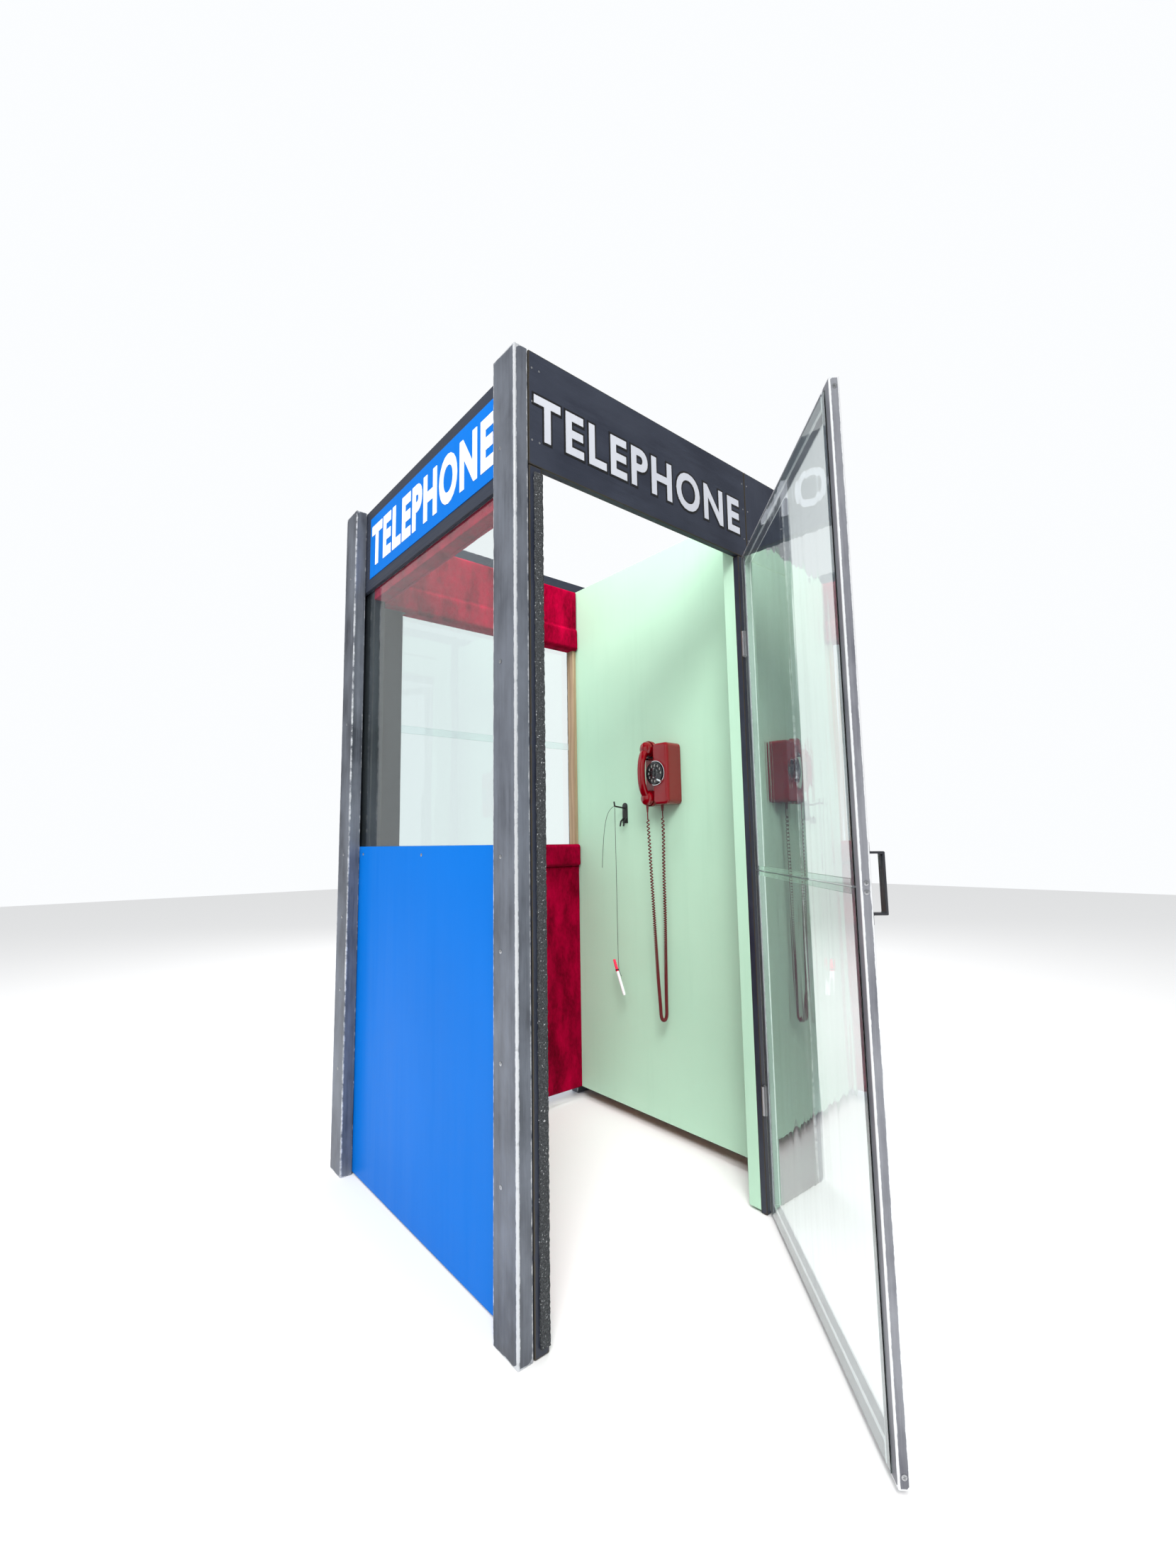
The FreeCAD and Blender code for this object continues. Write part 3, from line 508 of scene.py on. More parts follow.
def mouldedPlastic(name, colour, roughness, coat=0.6, peelSize=180.0):
    # moulded plastic: a faint orange peel under the gloss, and handling smears in the roughness
    material, tree, shader = newMaterial(name, Base_Color=(*colour, 1.0), Coat_Weight=coat,
                                         Coat_Roughness=0.05)
    smear = stretchedNoise(tree, 34.0, 34.0, 4.0, 0.6, uv=False)
    tree.links.new(ranged(tree, smear, 0.35, 0.75, roughness, roughness + 0.16), shader.inputs["Roughness"])
    peel = useGroup(tree, gritGroup, Size=peelSize)
    bumped(tree, shader, peel.outputs["Height"], 0.06, 0.0006)
    return material


def metalFinish(name, colour, roughness, scratch=0.3, metallic=1.0):
    # metal: fine scratches vary the roughness and the normal
    material, tree, shader = newMaterial(name, Base_Color=(*colour, 1.0), Metallic=metallic)
    scratches = stretchedNoise(tree, 900.0, 900.0, 3.0, 0.7, uv=False, third=60.0)
    rough = ranged(tree, scratches, 0.3, 0.75, roughness, roughness + scratch)
    tree.links.new(rough, shader.inputs["Roughness"])
    bumped(tree, shader, scratches, 0.15, 0.0002)
    return material


def foamRubber(name, colour, fleck):
    # open-cell foam: pits from a cell pattern, painted shade that darkens the colour in the pits, dust and
    # sparse pale flecks
    material, tree, shader = newMaterial(name, Roughness=0.95, Specular_IOR_Level=0.25)
    place = addNode(tree, "TexCoord").outputs["Object"]
    cells = addNode(tree, "TexVoronoi", {"Vector": place, "Scale": 520.0}).outputs["Distance"]
    dust = useGroup(tree, gritGroup, Size=240.0)
    # painted shade: the colour falls to 0.4 of the foam's colour towards each cell's middle, where the pits
    # are
    tone = maths(tree, "ADD", ranged(tree, cells, 0.1, 0.7, 0.0, 0.55),
                 ranged(tree, dust.outputs["Height"], 0.5, 0.75, 0.0, 0.6), clamp=True)
    body = mixed(tree, tone, tuple(c * 0.4 for c in colour), tuple(c * 2.3 for c in colour))
    flecks = ranged(tree, dust.outputs["Height"], 0.66, 0.70)
    tree.links.new(mixed(tree, flecks, body, fleck), shader.inputs["Base Color"])
    bumped(tree, shader, maths(tree, "ADD", cells, dust.outputs["Height"]), 0.8, 0.0015)
    return material


graphite = rubbedPaint("graphite posts", (0.018, 0.021, 0.030), (0.19, 0.21, 0.25), (0.60, 0.62, 0.65),
                       amount=0.95, threshold=0.58, edgeLevel=0.83, roughness=(0.34, 0.62))
boardPaint = rubbedPaint("graphite boards", (0.012, 0.016, 0.030), (0.056, 0.066, 0.095),
                         (0.060, 0.052, 0.040), amount=0.8, threshold=0.66, edgeLevel=0.86,
                         roughness=(0.38, 0.6))
headerPaint = rubbedPaint("slate header boards", (0.022, 0.028, 0.045), (0.055, 0.062, 0.080),
                          (0.040, 0.042, 0.050), amount=0.6, threshold=0.72, edgeLevel=0.95,
                          roughness=(0.42, 0.7))
framePaint = rubbedPaint("dark frame paint", (0.012, 0.014, 0.018), (0.050, 0.055, 0.060),
                         (0.060, 0.060, 0.060), amount=0.6, threshold=0.70, edgeLevel=0.92,
                         roughness=(0.42, 0.7))
doorPaint = rubbedPaint("door frame paint", (0.050, 0.052, 0.070), (0.30, 0.31, 0.34), (0.78, 0.80, 0.82),
                        amount=1.0, threshold=0.56, edgeLevel=0.78, roughness=(0.4, 0.65))
doorPaintPlain = flatPaint("door pull paint", (0.016, 0.017, 0.022), (0.030, 0.031, 0.036),
                           roughness=0.35, stippled=0.2, streaked=0.3, coat=0.2)
studWood = bareWood("bare softwood", (0.46, 0.34, 0.22), (0.30, 0.20, 0.12))
bluePaint = flatPaint("blue gloss paint", (0.0, 0.134, 0.53), (0.0, 0.120, 0.48),
                      roughness=0.36, stippled=0.06, streaked=0.12, shine=0.06)
mintPaint = flatPaint("mint paint", (0.47, 0.72, 0.55), (0.42, 0.66, 0.50),
                      roughness=0.5, stippled=0.10, streaked=0.35, shine=0.3)
outerPaint = flatPaint("outer board paint", (0.020, 0.023, 0.032), (0.014, 0.016, 0.022),
                       roughness=0.5, stippled=0.2, streaked=0.4)
whiteLetter = flatPaint("white letters", (0.80, 0.83, 0.88), (0.66, 0.70, 0.78),
                        roughness=0.45, stippled=0.2, streaked=0.3)
silverLetter = flatPaint("silver letters", (0.50, 0.52, 0.57), (0.38, 0.40, 0.46),
                         roughness=0.42, stippled=0.25, streaked=0.4)
blackLine = flatPaint("black outline", (0.003, 0.003, 0.004), (0.006, 0.006, 0.007),
                      roughness=0.45, stippled=0.2, streaked=0.2)
# painted sheen and shade: the first colour is the velvet's shaded tone, the second its lit tone
velvet = velvetCloth("crimson velvet", (0.090, 0.0, 0.006), (0.46, 0.0, 0.035))
acrylic = clearAcrylic("clear acrylic", (0.90, 0.96, 0.955), (0.62, 0.80, 0.80))
foam = foamRubber("foam tape", (0.040, 0.043, 0.046), (0.45, 0.46, 0.47))
steel = metalFinish("zinc steel", (0.50, 0.51, 0.53), roughness=0.28)
chrome = metalFinish("chrome", (0.82, 0.82, 0.84), roughness=0.06, scratch=0.12)
brassGong = metalFinish("brass gong", (0.70, 0.50, 0.22), roughness=0.25)
blackMetal = metalFinish("black enamel", (0.012, 0.012, 0.013), roughness=0.3, scratch=0.25, metallic=0.0)
redPlastic = mouldedPlastic("red plastic", (0.20, 0.0, 0.004), roughness=0.10, coat=0.35)
dialBlack = mouldedPlastic("dial black", (0.006, 0.006, 0.008), roughness=0.18)
dialWhite = mouldedPlastic("dial white", (0.70, 0.70, 0.68), roughness=0.35)
cordPlastic = mouldedPlastic("cord vinyl", (0.12, 0.004, 0.008), roughness=0.3, coat=0.2, peelSize=500.0)
pinkPlastic = mouldedPlastic("marker cap", (0.80, 0.02, 0.07), roughness=0.15)
whitePlastic = mouldedPlastic("marker barrel", (0.82, 0.82, 0.84), roughness=0.2)
stringBlack = mouldedPlastic("black string", (0.012, 0.012, 0.013), roughness=0.6, coat=0.0, peelSize=900.0)
print("materials made:", len(bpy.data.materials))


# camera, lights and floor

def lookMatrix(place, forward, up):
    forward = Vector(forward).normalized()
    right = forward.cross(Vector(up)).normalized()
    turn = Matrix((right, right.cross(forward), -forward)).transposed()
    return Matrix.Translation(Vector(place)) @ turn.to_4x4()


cameraSettings = {
    "place": (-1.3224, -1.6327, 0.9967),      # metres, in the frame
    "forward": (0.62302, 0.77398, 0.11315),
    "up": (-0.06139, -0.09583, 0.99350),
    "lens": 14.877, "shift": (0.0153, -0.0086),
}


white = (1.0, 1.0, 1.0)
lamps = [       # name, place, aim, size in metres, power in watts, colour, and whether gloss mirrors it
    ("key", (-2.9, -3.4, 4.4), (0, 0, 1.0), 1.6, 190, (1.0, 0.98, 0.95), False),
    ("fill", (-4.2, 1.2, 2.4), (0, 0, 1.0), 3.0, 50, white, False),
    ("inside", (-0.1, 0.0, 3.4), (0.25, 0.0, 0.6), 1.0, 40, white, False),
    ("back", (2.8, 3.4, 3.6), (0, 0, 1.2), 2.6, 110, white, False),
    ("glint", (-2.4, -0.9, 2.9), (0.35, -0.05, 1.24), 0.35, 9, white, True),
]


def makeCamera(settings):
    data = bpy.data.cameras.new("camera")
    data.sensor_fit = "VERTICAL"
    data.sensor_height = 36.0
    data.sensor_width = 36.0
    data.lens = settings["lens"]
    data.shift_x, data.shift_y = settings["shift"]
    data.clip_start = 0.05
    camera = linked("camera", data)
    camera.matrix_world = lookMatrix(settings["place"], settings["forward"], settings["up"])
    bpy.context.scene.camera = camera


nearlyUp = (0.01, 0.02, 1)      # a lamp's top side, off the vertical so that a lamp may point straight down


def makeLight(name, place, target, size, power, colour, mirrored):
    data = bpy.data.lights.new(name, "AREA")
    data.size = size
    data.energy = power
    data.color = colour
    light = linked(name, data)
    light.matrix_world = lookMatrix(place, Vector(target) - Vector(place), nearlyUp)
    light.visible_glossy = mirrored
    light.visible_transmission = False     # the panes don't show the lamps behind them


def makeSun(direction, strength, angle):
    data = bpy.data.lights.new("daylight", "SUN")
    data.energy = strength
    data.angle = math.radians(angle)
    light = linked("daylight", data)
    light.matrix_world = lookMatrix((0, 0, 6), direction, nearlyUp)
    light.visible_glossy = False


def makeStage():
    mesh = bpy.data.meshes.new("floor")
    half = 14     # metres
    corners = [(-half, -half, 0), (half, -half, 0), (half, half, 0), (-half, half, 0)]
    mesh.from_pydata(corners, [], [(0, 1, 2, 3)])
    material = newMaterial("pale floor", Roughness=0.85, Base_Color=(0.80, 0.80, 0.80, 1.0))[0]
    mesh.materials.append(material)
    linked("floor", mesh)
    world = bpy.data.worlds.new("studio")
    world.use_nodes = True
    tree = world.node_tree      # a white surround to look at, and a dimmer one to light the booth by
    surround = tree.nodes["Background"]
    surround.inputs["Color"].default_value = (0.97, 0.985, 1.0, 1.0)
    rays = addNode(tree, "LightPath").outputs
    seen = maths(tree, "MAXIMUM", rays["Is Camera Ray"], rays["Is Transmission Ray"])
    strength = ranged(tree, rays["Is Glossy Ray"], 0.0, 1.0, 0.62, 0.42)
    tree.links.new(maths(tree, "MAXIMUM", strength, seen), surround.inputs["Strength"])
    bpy.context.scene.world = world
    bpy.context.scene.view_settings.view_transform = "Standard"


makeCamera(cameraSettings)
makeStage()
for lamp in lamps:
    makeLight(*lamp)
makeSun((0.42, 0.52, -0.74), 1.5, 24)       # direction, strength, and width in degrees
print("camera, lights and floor set")


# cords

curlyCord = {
    "coil": 12.5, "wire": 4.0,                # outer diameters of the coil and of its wire, mm
    "open": 14.5, "closed": 4.05,             # pitch at the top of a strand and near the loop, mm
    "closedRun": 150.0,                       # closed turns each side of the loop, mm
    "lead": 22.0,                             # straight wire at each end, mm
    "perTurn": 12, "sides": 8,                # points to a turn, and sides of the wire
    "stretch": 0.96,                          # share of the strand over which the stretch grows to its full
    "route": [(66.5, 33.5, -133.9), (66.5, 33.5, -163.0), (66.1, 30.0, -216.0), (64.5, 26.5, -318.0),
              (63.5, 17.5, -503.0), (60.9, 11.0, -684.0), (59.0, 4.5, -785.0), (58.7, 2.5, -838.0),
              (30.5, 2.4, -839.0), (30.0, 3.6, -787.0), (29.4, 2.6, -690.0), (25.0, 2.0, -505.0),
              (24.0, 3.6, -322.0), (21.0, 2.6, -222.0), (23.0, 2.5, -168.0), (23.0, 2.5, -128.0)],
}


def splineCurve(name, points, steps):
    curve = bpy.data.curves.new(name, "CURVE")
    curve.dimensions = "3D"
    spline = curve.splines.new("NURBS")
    spline.points.add(len(points) - 1)
    spline.points.foreach_set("co", np.c_[points, np.ones(len(points))].ravel())
    spline.order_u = 3
    spline.use_endpoint_u = True
    spline.resolution_u = steps
    curve.resolution_u = steps
    return curve


def splinePoints(name, points, steps):   # points along the route's own smooth line
    curve = splineCurve(name, points, steps)
    holder = linked(name, curve)
    bpy.context.view_layer.update()
    line = meshPoints(bpy.data.meshes.new_from_object(holder))
    bpy.data.objects.remove(holder)
    return line


def arcLength(line):
    return np.concatenate([[0], np.cumsum(np.linalg.norm(np.diff(line, axis=0), axis=1))])


def along(line, lengths, distance):   # the line's points and directions at these distances
    step = 0.002
    points, ahead, behind = [
        np.stack([np.interp(distance + shift, lengths, line[:, k]) for k in range(3)], -1)
        for shift in (0.0, step, -step)]
    heading = ahead - behind
    return points, heading / np.linalg.norm(heading, axis=1)[:, None]


def carriedFrames(headings, start):   # turns a side direction along the path with as little twist as can be
    sides = np.empty_like(headings)
    side = np.asarray(start, float)
    for i, heading in enumerate(headings):
        side = side - heading * side.dot(heading)
        side = side / np.linalg.norm(side)
        sides[i] = side
    return sides, np.cross(headings, sides)


def coilLine(settings, line):
    # a helix round the line: it turns once a pitch, and the pitch closes towards the loop at the middle
    lengths = arcLength(line)
    total = lengths[-1]
    radius = (settings["coil"] - settings["wire"]) / 2 * mm
    lead, closedRun = settings["lead"] * mm, settings["closedRun"] * mm
    middle = lengths[np.argmin(line[:, 2])]
    distance, turn, places, turns = lead, 0.0, [], []
    while distance < total - lead:
        reach = middle if distance < middle else total - middle
        fromLoop = abs(distance - middle)
        share = min(max((fromLoop - closedRun) / (reach - closedRun - lead), 0.0), 1.0)
        pitch = (settings["closed"] + (settings["open"] - settings["closed"]) * share) * mm
        places.append(distance)
        turns.append(turn)
        distance += pitch / settings["perTurn"]
        turn += 2 * math.pi / settings["perTurn"]
    places, turns = np.array(places), np.array(turns)
    points, headings = along(line, lengths, places)
    first, second = carriedFrames(headings, (0.0, 1.0, 0.0))
    # the helix eases out of the straight leads
    grow = np.clip(np.minimum(places - lead, total - lead - places) / (6 * mm), 0, 1)
    ring = np.cos(turns)[:, None] * first + np.sin(turns)[:, None] * second
    helix = points + (radius * grow)[:, None] * ring
    ends = np.linspace(0, lead - 3 * mm, 5)
    start = along(line, lengths, ends)[0]
    end = along(line, lengths, total - ends[::-1])[0]
    return np.vstack([start, helix, end])


def sweptTube(path, radius, steps):   # a circle of so many points carried along the path
    headings = np.gradient(path, axis=0)
    headings /= np.linalg.norm(headings, axis=1)[:, None]
    sides, ups = carriedFrames(headings, (0.0, 1.0, 0.0))
    angle = np.arange(steps) * 2 * math.pi / steps
    ring = np.cos(angle)[None, :, None] * sides[:, None] + np.sin(angle)[None, :, None] * ups[:, None]
    return gridSurface(path[:, None] + radius * ring, closed=True, caps=True)


def cordPiece(name, points, diameter, material, body, nodes, steps, resolution):
    curve = splineCurve(name, points, steps)
    curve.bevel_depth = diameter / 2
    curve.bevel_resolution = resolution
    curve.use_fill_caps = True
    curve.materials.append(material)
    return settle(linked(name, curve), body, nodes)


def makePhoneCord(settings):
    route = phonePoint(*np.array(settings["route"]).T)
    line = splinePoints("cord route", route, 16)
    helix = coilLine(settings, line)
    path = splinePoints("cord helix", helix, 2)
    steps = settings["sides"]
    surface = sweptTube(path, settings["wire"] / 2 * mm, steps)
    piece = makePiece("curlyCord", [surface], cordPlastic, None, ("phone_cord",))
    piece.data.polygons[-1].use_smooth = piece.data.polygons[-2].use_smooth = False
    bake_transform(piece)


makePhoneCord(curlyCord)


# strings of the marker

markerString = {
    "diameter": 1.6,
    "route": [(55, 214, -104.8), (55, 212.8, -164.8), (55, 212.26, -640.9), (55, 210.66, -700.9),
              (55, 202.66, -709.9), (54.2, 198.16, -720.9)],     # out, side, up, in mm
}
stringTail = {
    "diameter": 1.6,
    "route": [(54, 218.2, -101), (55, 240.2, -110), (55.5, 260.2, -139), (54, 275.2, -187),
              (52.8, 284.2, -243), (53.6, 289.2, -297), (54, 290.7, -332)],
}


def makeString(name, settings, node):
    route = phonePoint(*np.array(settings["route"], float).T)
    length = arcLength(splinePoints(name + "Route", route, 16))[-1]
    piece = cordPiece(name, route, settings["diameter"] * mm, stringBlack, "booth", (node,), 10, 3)
    print(name + ":", round(float(length), 3), "m")


makeString("markerCord", markerString, "marker_string")
makeString("loopTail", stringTail, "string_tail")


# boards and sheets: name, CAD nodes, material, slot, then edge rounding, worn band and wander in mm

boards = [
    ("frontLeftPost", ["front_left_post"], graphite, "posts", 3.5, 12, 1.0),
    ("frontRightPost", ["front_right_post"], graphite, "posts", 3.5, 12, 1.0),
    ("backLeftPost", ["back_left_post"], graphite, "posts", 3.5, 12, 1.0),
    ("backRightPost", ["back_right_post"], graphite, "posts", 3.5, 12, 1.0),
    ("backBattens", ["back_wall_battens"], graphite, "posts", 3.5, 12, 0.8),
    ("leftStuds", ["left_wall_frame"], framePaint, "frames", 3.0, 8, 0.0),
    ("backStuds", ["back_wall_frame"], studWood, "frames", 3.0, 8, 0.0),
    ("rightStuds", ["right_wall_frame"], studWood, "frames", 3.0, 8, 0.0),
    ("frontStuds", ["front_wall_frame"], mintPaint, "frames", 2.0, 8, 0.0),
    ("fascia", ["fascia_boards"], boardPaint, "boards", 1.6, 5, 0.0),
    ("strikeTrim", ["strike_trim"], boardPaint, "boards", 2.0, 6, 0.4),
    ("hingeBoard", ["hinge_panel"], boardPaint, "boards", 1.6, 5, 0.0),
    ("sideHeader", ["left_header_board"], headerPaint, "boards", 1.2, 4, 0.0),
    ("backHeader", ["back_header_board"], headerPaint, "boards", 1.2, 4, 0.0),
    ("signBoards", ["sign_panels"], bluePaint, "blue_panel", 0.5, 3, 0.0),
    ("sideLowerBoard", ["left_lower_panel"], bluePaint, "blue_panel", 1.5, 5, 0.0),
    ("backLowerBoard", ["back_lower_panel"], bluePaint, "blue_panel", 1.5, 5, 0.0),
    ("rightOuterBoard", ["right_outer_panel"], outerPaint, "boards", 1.5, 5, 0.0),
    ("mintWall", ["mint_wall_panel"], mintPaint, "mint_panel", 0.8, 4, 0.0),
    ("sidePane", ["left_window_pane"], acrylic, "acrylic", 0.7, 0.6, 0.0),
    ("backPane", ["back_window_pane"], acrylic, "acrylic", 0.7, 0.6, 0.0),
    ("backSplice", ["back_window_splice"], acrylic, "acrylic", 0.7, 0.6, 0.0),
]
doorBoards = [
    ("doorHingeStile", ["door_hinge_stile"], doorPaint, "door_paint", 2.0, 7, 0.0),
    ("doorFreeStile", ["door_free_stile"], doorPaint, "door_paint", 2.0, 7, 0.0),
    ("doorRails", ["door_top_rail", "door_bottom_rail"], doorPaint, "door_paint", 2.0, 7, 0.0),
    ("doorLowerPane", ["door_lower_pane"], acrylic, "acrylic", 0.7, 0.6, 0.0),
    ("doorUpperPane", ["door_upper_pane"], acrylic, "acrylic", 0.7, 0.6, 0.0),
    ("doorSplice", ["door_splice_strip"], acrylic, "acrylic", 0.7, 0.6, 0.0),
]


sheetGap = 0.00025       # keeps clear sheets from touching what they are fixed to


def exposed(surface):
    # a post's outer corner keeps all its wear, the corners beside it less and the inner one least
    points = surface["points"]
    middle = (points.min(0) + points.max(0)) / 2
    outward = (np.sign(middle[:2]) * (points[:, :2] - middle[:2]) > 0).sum(1)
    surface["wear"] = surface["wear"] * np.array([0.70, 0.80, 1.0])[outward]
    return surface


def makeBoards(rows, body, turn=0.0):
    for index, (name, nodes, material, slotName, easing, band, wander) in enumerate(rows):
        rng = np.random.default_rng(40 + index)
        gap = sheetGap if slotName == "acrylic" else 0.0
        surfaces = [board(low + gap, high - gap, easing * mm, rng, band * mm, wander * mm)
                    for node in nodes for low, high in boxesOf(node, turn)]
        if slotName == "posts":
            surfaces = [exposed(surface) for surface in surfaces]
        makePiece(name, surfaces, material, body, nodes, turn)


def recolour(piece, material, chosen):   # the faces whose centres are chosen get another material
    mesh = piece.data
    mesh.materials.append(material)
    centres = np.empty(len(mesh.polygons) * 3, np.float32)
    mesh.polygons.foreach_get("center", centres)
    index = np.empty(len(mesh.polygons), np.int32)
    mesh.polygons.foreach_get("material_index", index)
    index[chosen(centres.reshape(-1, 3))] = len(mesh.materials) - 1
    mesh.polygons.foreach_set("material_index", index)


makeBoards(boards, "booth")
windowHead = boxesOf("left_wall_frame")[4]      # the rail over the window, as a low and a high corner
velvetReach = {"leftStuds": (1, 0.40), "backStuds": (0, 0.42)}    # axis along the wall, and metres
paintedBelow = -0.37                            # the back wall's left stud is painted, up to this x


def underVelvet(centres, axis, reach):
    level = centres[:, 2]
    onRail = (level > windowHead[0][2] - mm) & (level < windowHead[1][2] + mm)
    return onRail & (np.abs(centres[:, axis]) < reach)


for name, (axis, reach) in velvetReach.items():
    recolour(bpy.data.objects[name], velvet, lambda centres: underVelvet(centres, axis, reach))
recolour(bpy.data.objects["backStuds"], framePaint, lambda centres: centres[:, 0] < paintedBelow)
makeBoards(doorBoards, "door", doorTurn)
print("boards and panes:", len(boards) + len(doorBoards))


# foam tape up the strike board: a box whose faces are pitted and whose edges are ragged

foamTape = {"step": 0.006, "ragged": 0.0012}      # metres: rows up the strip, and how far it is pushed in


def makeFoamTape(settings):
    # the strip's section, a rounded rectangle, is carried upwards and each point is pushed in at random
    low, high = boxesOf("foam_tape")[0]
    rng = np.random.default_rng(7)
    rows = int((high[2] - low[2]) / settings["step"])
    u = np.linspace(0, 1, 7)[:-1]
    zero = 0 * u
    across, deep = high[0] - low[0], high[1] - low[1]
    section = np.vstack([np.stack([u, zero], -1), np.stack([1 + zero, u], -1),
                         np.stack([1 - u, 1 + zero], -1), np.stack([zero, 1 - u], -1)])
    pinch = 1 - 0.06 * (np.abs(section - 0.5).min(-1) > 0.49)
    ring = (section - 0.5) * pinch[:, None] * (across, deep)
    points = np.empty((rows, len(ring), 3))
    shrink = 1 - rng.uniform(0, settings["ragged"], (rows, len(ring), 1)) / (deep / 2) * 0.5
    points[..., :2] = ring[None] * shrink + (low[:2] + high[:2]) / 2
    points[..., 2] = np.linspace(low[2], high[2], rows)[:, None]
    makePiece("foamStrip", [gridSurface(points, closed=True, caps=True)], foam, "booth",
              ("foam_tape",), sharp=50)


makeFoamTape(foamTape)


# screws and nails: heads stand on the faces where the CAD has them

screwHead = {
    "recess": 0.0011,                # depth of the cross, metres
    "slot": 0.22, "reach": 0.62,     # width and length of its arms, as shares of the head's radius
    "rings": 14, "count": 40,
}


def crossHead(settings, centre, axis, sign, radius, height, angle):
    # a domed disc; the height falls away inside a cross, whose arms are slot wide and reach long
    rings = np.concatenate([np.linspace(0.0, 0.92, settings["rings"]), [0.98, 1.0, 1.0]])
    turn = np.arange(settings["count"]) * 2 * math.pi / settings["count"]
    x = rings[:, None] * np.cos(turn - angle)
    y = rings[:, None] * np.sin(turn - angle)
    dome = height * (1 - 0.5 * rings ** 2)[:, None] * np.ones_like(x)
    dome[-2] = height * 0.35
    dome[-1] = 0.0
    narrow = np.minimum(np.abs(x), np.abs(y))
    wide = np.maximum(np.abs(x), np.abs(y))
    inside = (np.clip((settings["slot"] / 2 - narrow) / 0.05, 0, 1)
              * np.clip((settings["reach"] - wide) / 0.08, 0, 1))
    dome = np.maximum(dome - min(settings["recess"], 0.9 * height) * inside, 0.0)
    first, second = (axis + 1) % 3, (axis + 2) % 3
    points = np.empty((*x.shape, 3))
    points[..., axis] = centre[axis] + sign * dome
    points[..., first] = centre[first] + radius * rings[:, None] * np.cos(turn)
    points[..., second] = centre[second] + radius * rings[:, None] * np.sin(turn)
    return gridSurface(points, closed=True, flip=sign > 0)


def makeHeads(name, node, material, body, turn=0.0, flat=False):
    heads = nodePoints(node, turn).reshape(-1, 170, 3)          # each head is one cylinder of 170 points
    rng = np.random.default_rng(3)
    settings = dict(screwHead, reach=0.0) if flat else screwHead
    surfaces = []
    for head in heads:
        low, high = head.min(0), head.max(0)
        axis = int(np.argmin(high - low))
        centre = (low + high) / 2
        sign = 1.0 if centre[axis] > 0 else -1.0
        centre[axis] = low[axis] if sign > 0 else high[axis]
        radius = np.sort(high - low)[1] / 2
        surfaces.append(crossHead(settings, centre, axis, sign, radius, (high - low)[axis],
                                  rng.uniform(0, 1.5)))
    makePiece(name, surfaces, material, body, (node,), turn, merge=True, sharp=35)


makeHeads("panelScrews", "post_screws", steel, "booth")
makeHeads("fasciaNails", "fascia_nails", steel, "booth", flat=True)
makeHeads("doorScrews", "door_screws", steel, "door", doorTurn)
easedCopy("fixedHingeLeaves", "hinge_fixed_leaves", 0.0004, steel, "booth")
easedCopy("doorHingeLeaves", "hinge_door_leaves", 0.0004, steel, "door")
easedCopy("doorHandle", "door_pull", 0.0015, doorPaintPlain, "door")
print("screws, nails and hinges made")


# lettering: plain block capitals, with a dark outline on the front board

lettering = {
    "word": "TELEPHONE",
    "weight": 0.026, "outline": 0.040, "bold": 0.018,      # thickening, as shares of a letter's height
    "spacing": 1.17,
    "front": {"start": -0.500, "end": 0.270, "foot": 1.920, "head": 2.030},     # metres, in the frame
    "inset": {"start": 0.372, "end": -0.372, "foot": 1.921, "head": 2.058},
}


wordDepth = 0.1       # of the letters as Blender's font gives them, before they are scaled


def wordMesh(word, weight, spacing):
    # the word as a solid: every stroke is thickened by weight on each side
    curve = bpy.data.curves.new("word", "FONT")
    curve.body = word
    curve.offset = weight
    curve.extrude = wordDepth / 2
    curve.resolution_u = 5
    curve.space_character = spacing
    holder = linked("word", curve)
    bpy.context.view_layer.update()
    mesh = bpy.data.meshes.new_from_object(holder)
    bpy.data.objects.remove(holder)
    return mesh, meshPoints(mesh)


def makeWord(settings, name, where, reading, outward, face, thickness, weight, material):
    # stretched so that the plain word fills its place; a heavier copy keeps the same letter centres
    place = settings[where]
    plain = wordMesh(settings["word"], settings["weight"], settings["spacing"])[1]
    low, high = plain.min(0), plain.max(0)
    mesh, points = wordMesh(settings["word"], weight, settings["spacing"])
    share = (points - low) / (high - low)
    places = np.empty_like(points)
    places[:, reading] = place["start"] + share[:, 0] * (place["end"] - place["start"])
    places[:, 2] = place["foot"] + share[:, 1] * (place["head"] - place["foot"])
    side = 1 - reading
    places[:, side] = face + outward * (0.5 + points[:, 2] / wordDepth) * thickness
    mesh.vertices.foreach_set("co", places.astype(np.float32).ravel())
    mesh.update()
    mergeDoubles(mesh)
    mesh.shade_smooth()
    mesh.set_sharp_from_angle(angle=math.radians(30))
    mesh.materials.clear()
    mesh.materials.append(material)
    return settle(linked(name, mesh), "booth")


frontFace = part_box("fascia_boards")[0].y
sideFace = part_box("sign_panels")[0].x
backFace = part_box("sign_panels")[1].y
plainWeight = lettering["weight"]
outlineWeight = plainWeight + lettering["outline"]
boldWeight = plainWeight + lettering["bold"]
words = [       # name, place, axis it reads along, way it faces, face, thickness, weight, material
    ("frontOutline", "front", 0, -1, frontFace, 0.0006, outlineWeight, blackLine),
    ("frontWord", "front", 0, -1, frontFace, 0.0014, plainWeight, silverLetter),
    ("sideWord", "inset", 1, -1, sideFace, 0.0012, boldWeight, whiteLetter),
    ("backWord", "inset", 0, 1, backFace, 0.0012, boldWeight, whiteLetter),
]
for word in words:
    makeWord(lettering, *word)
print("lettering made:", len(words))


# velvet: strips stretched over the rails, and cloths hung from them

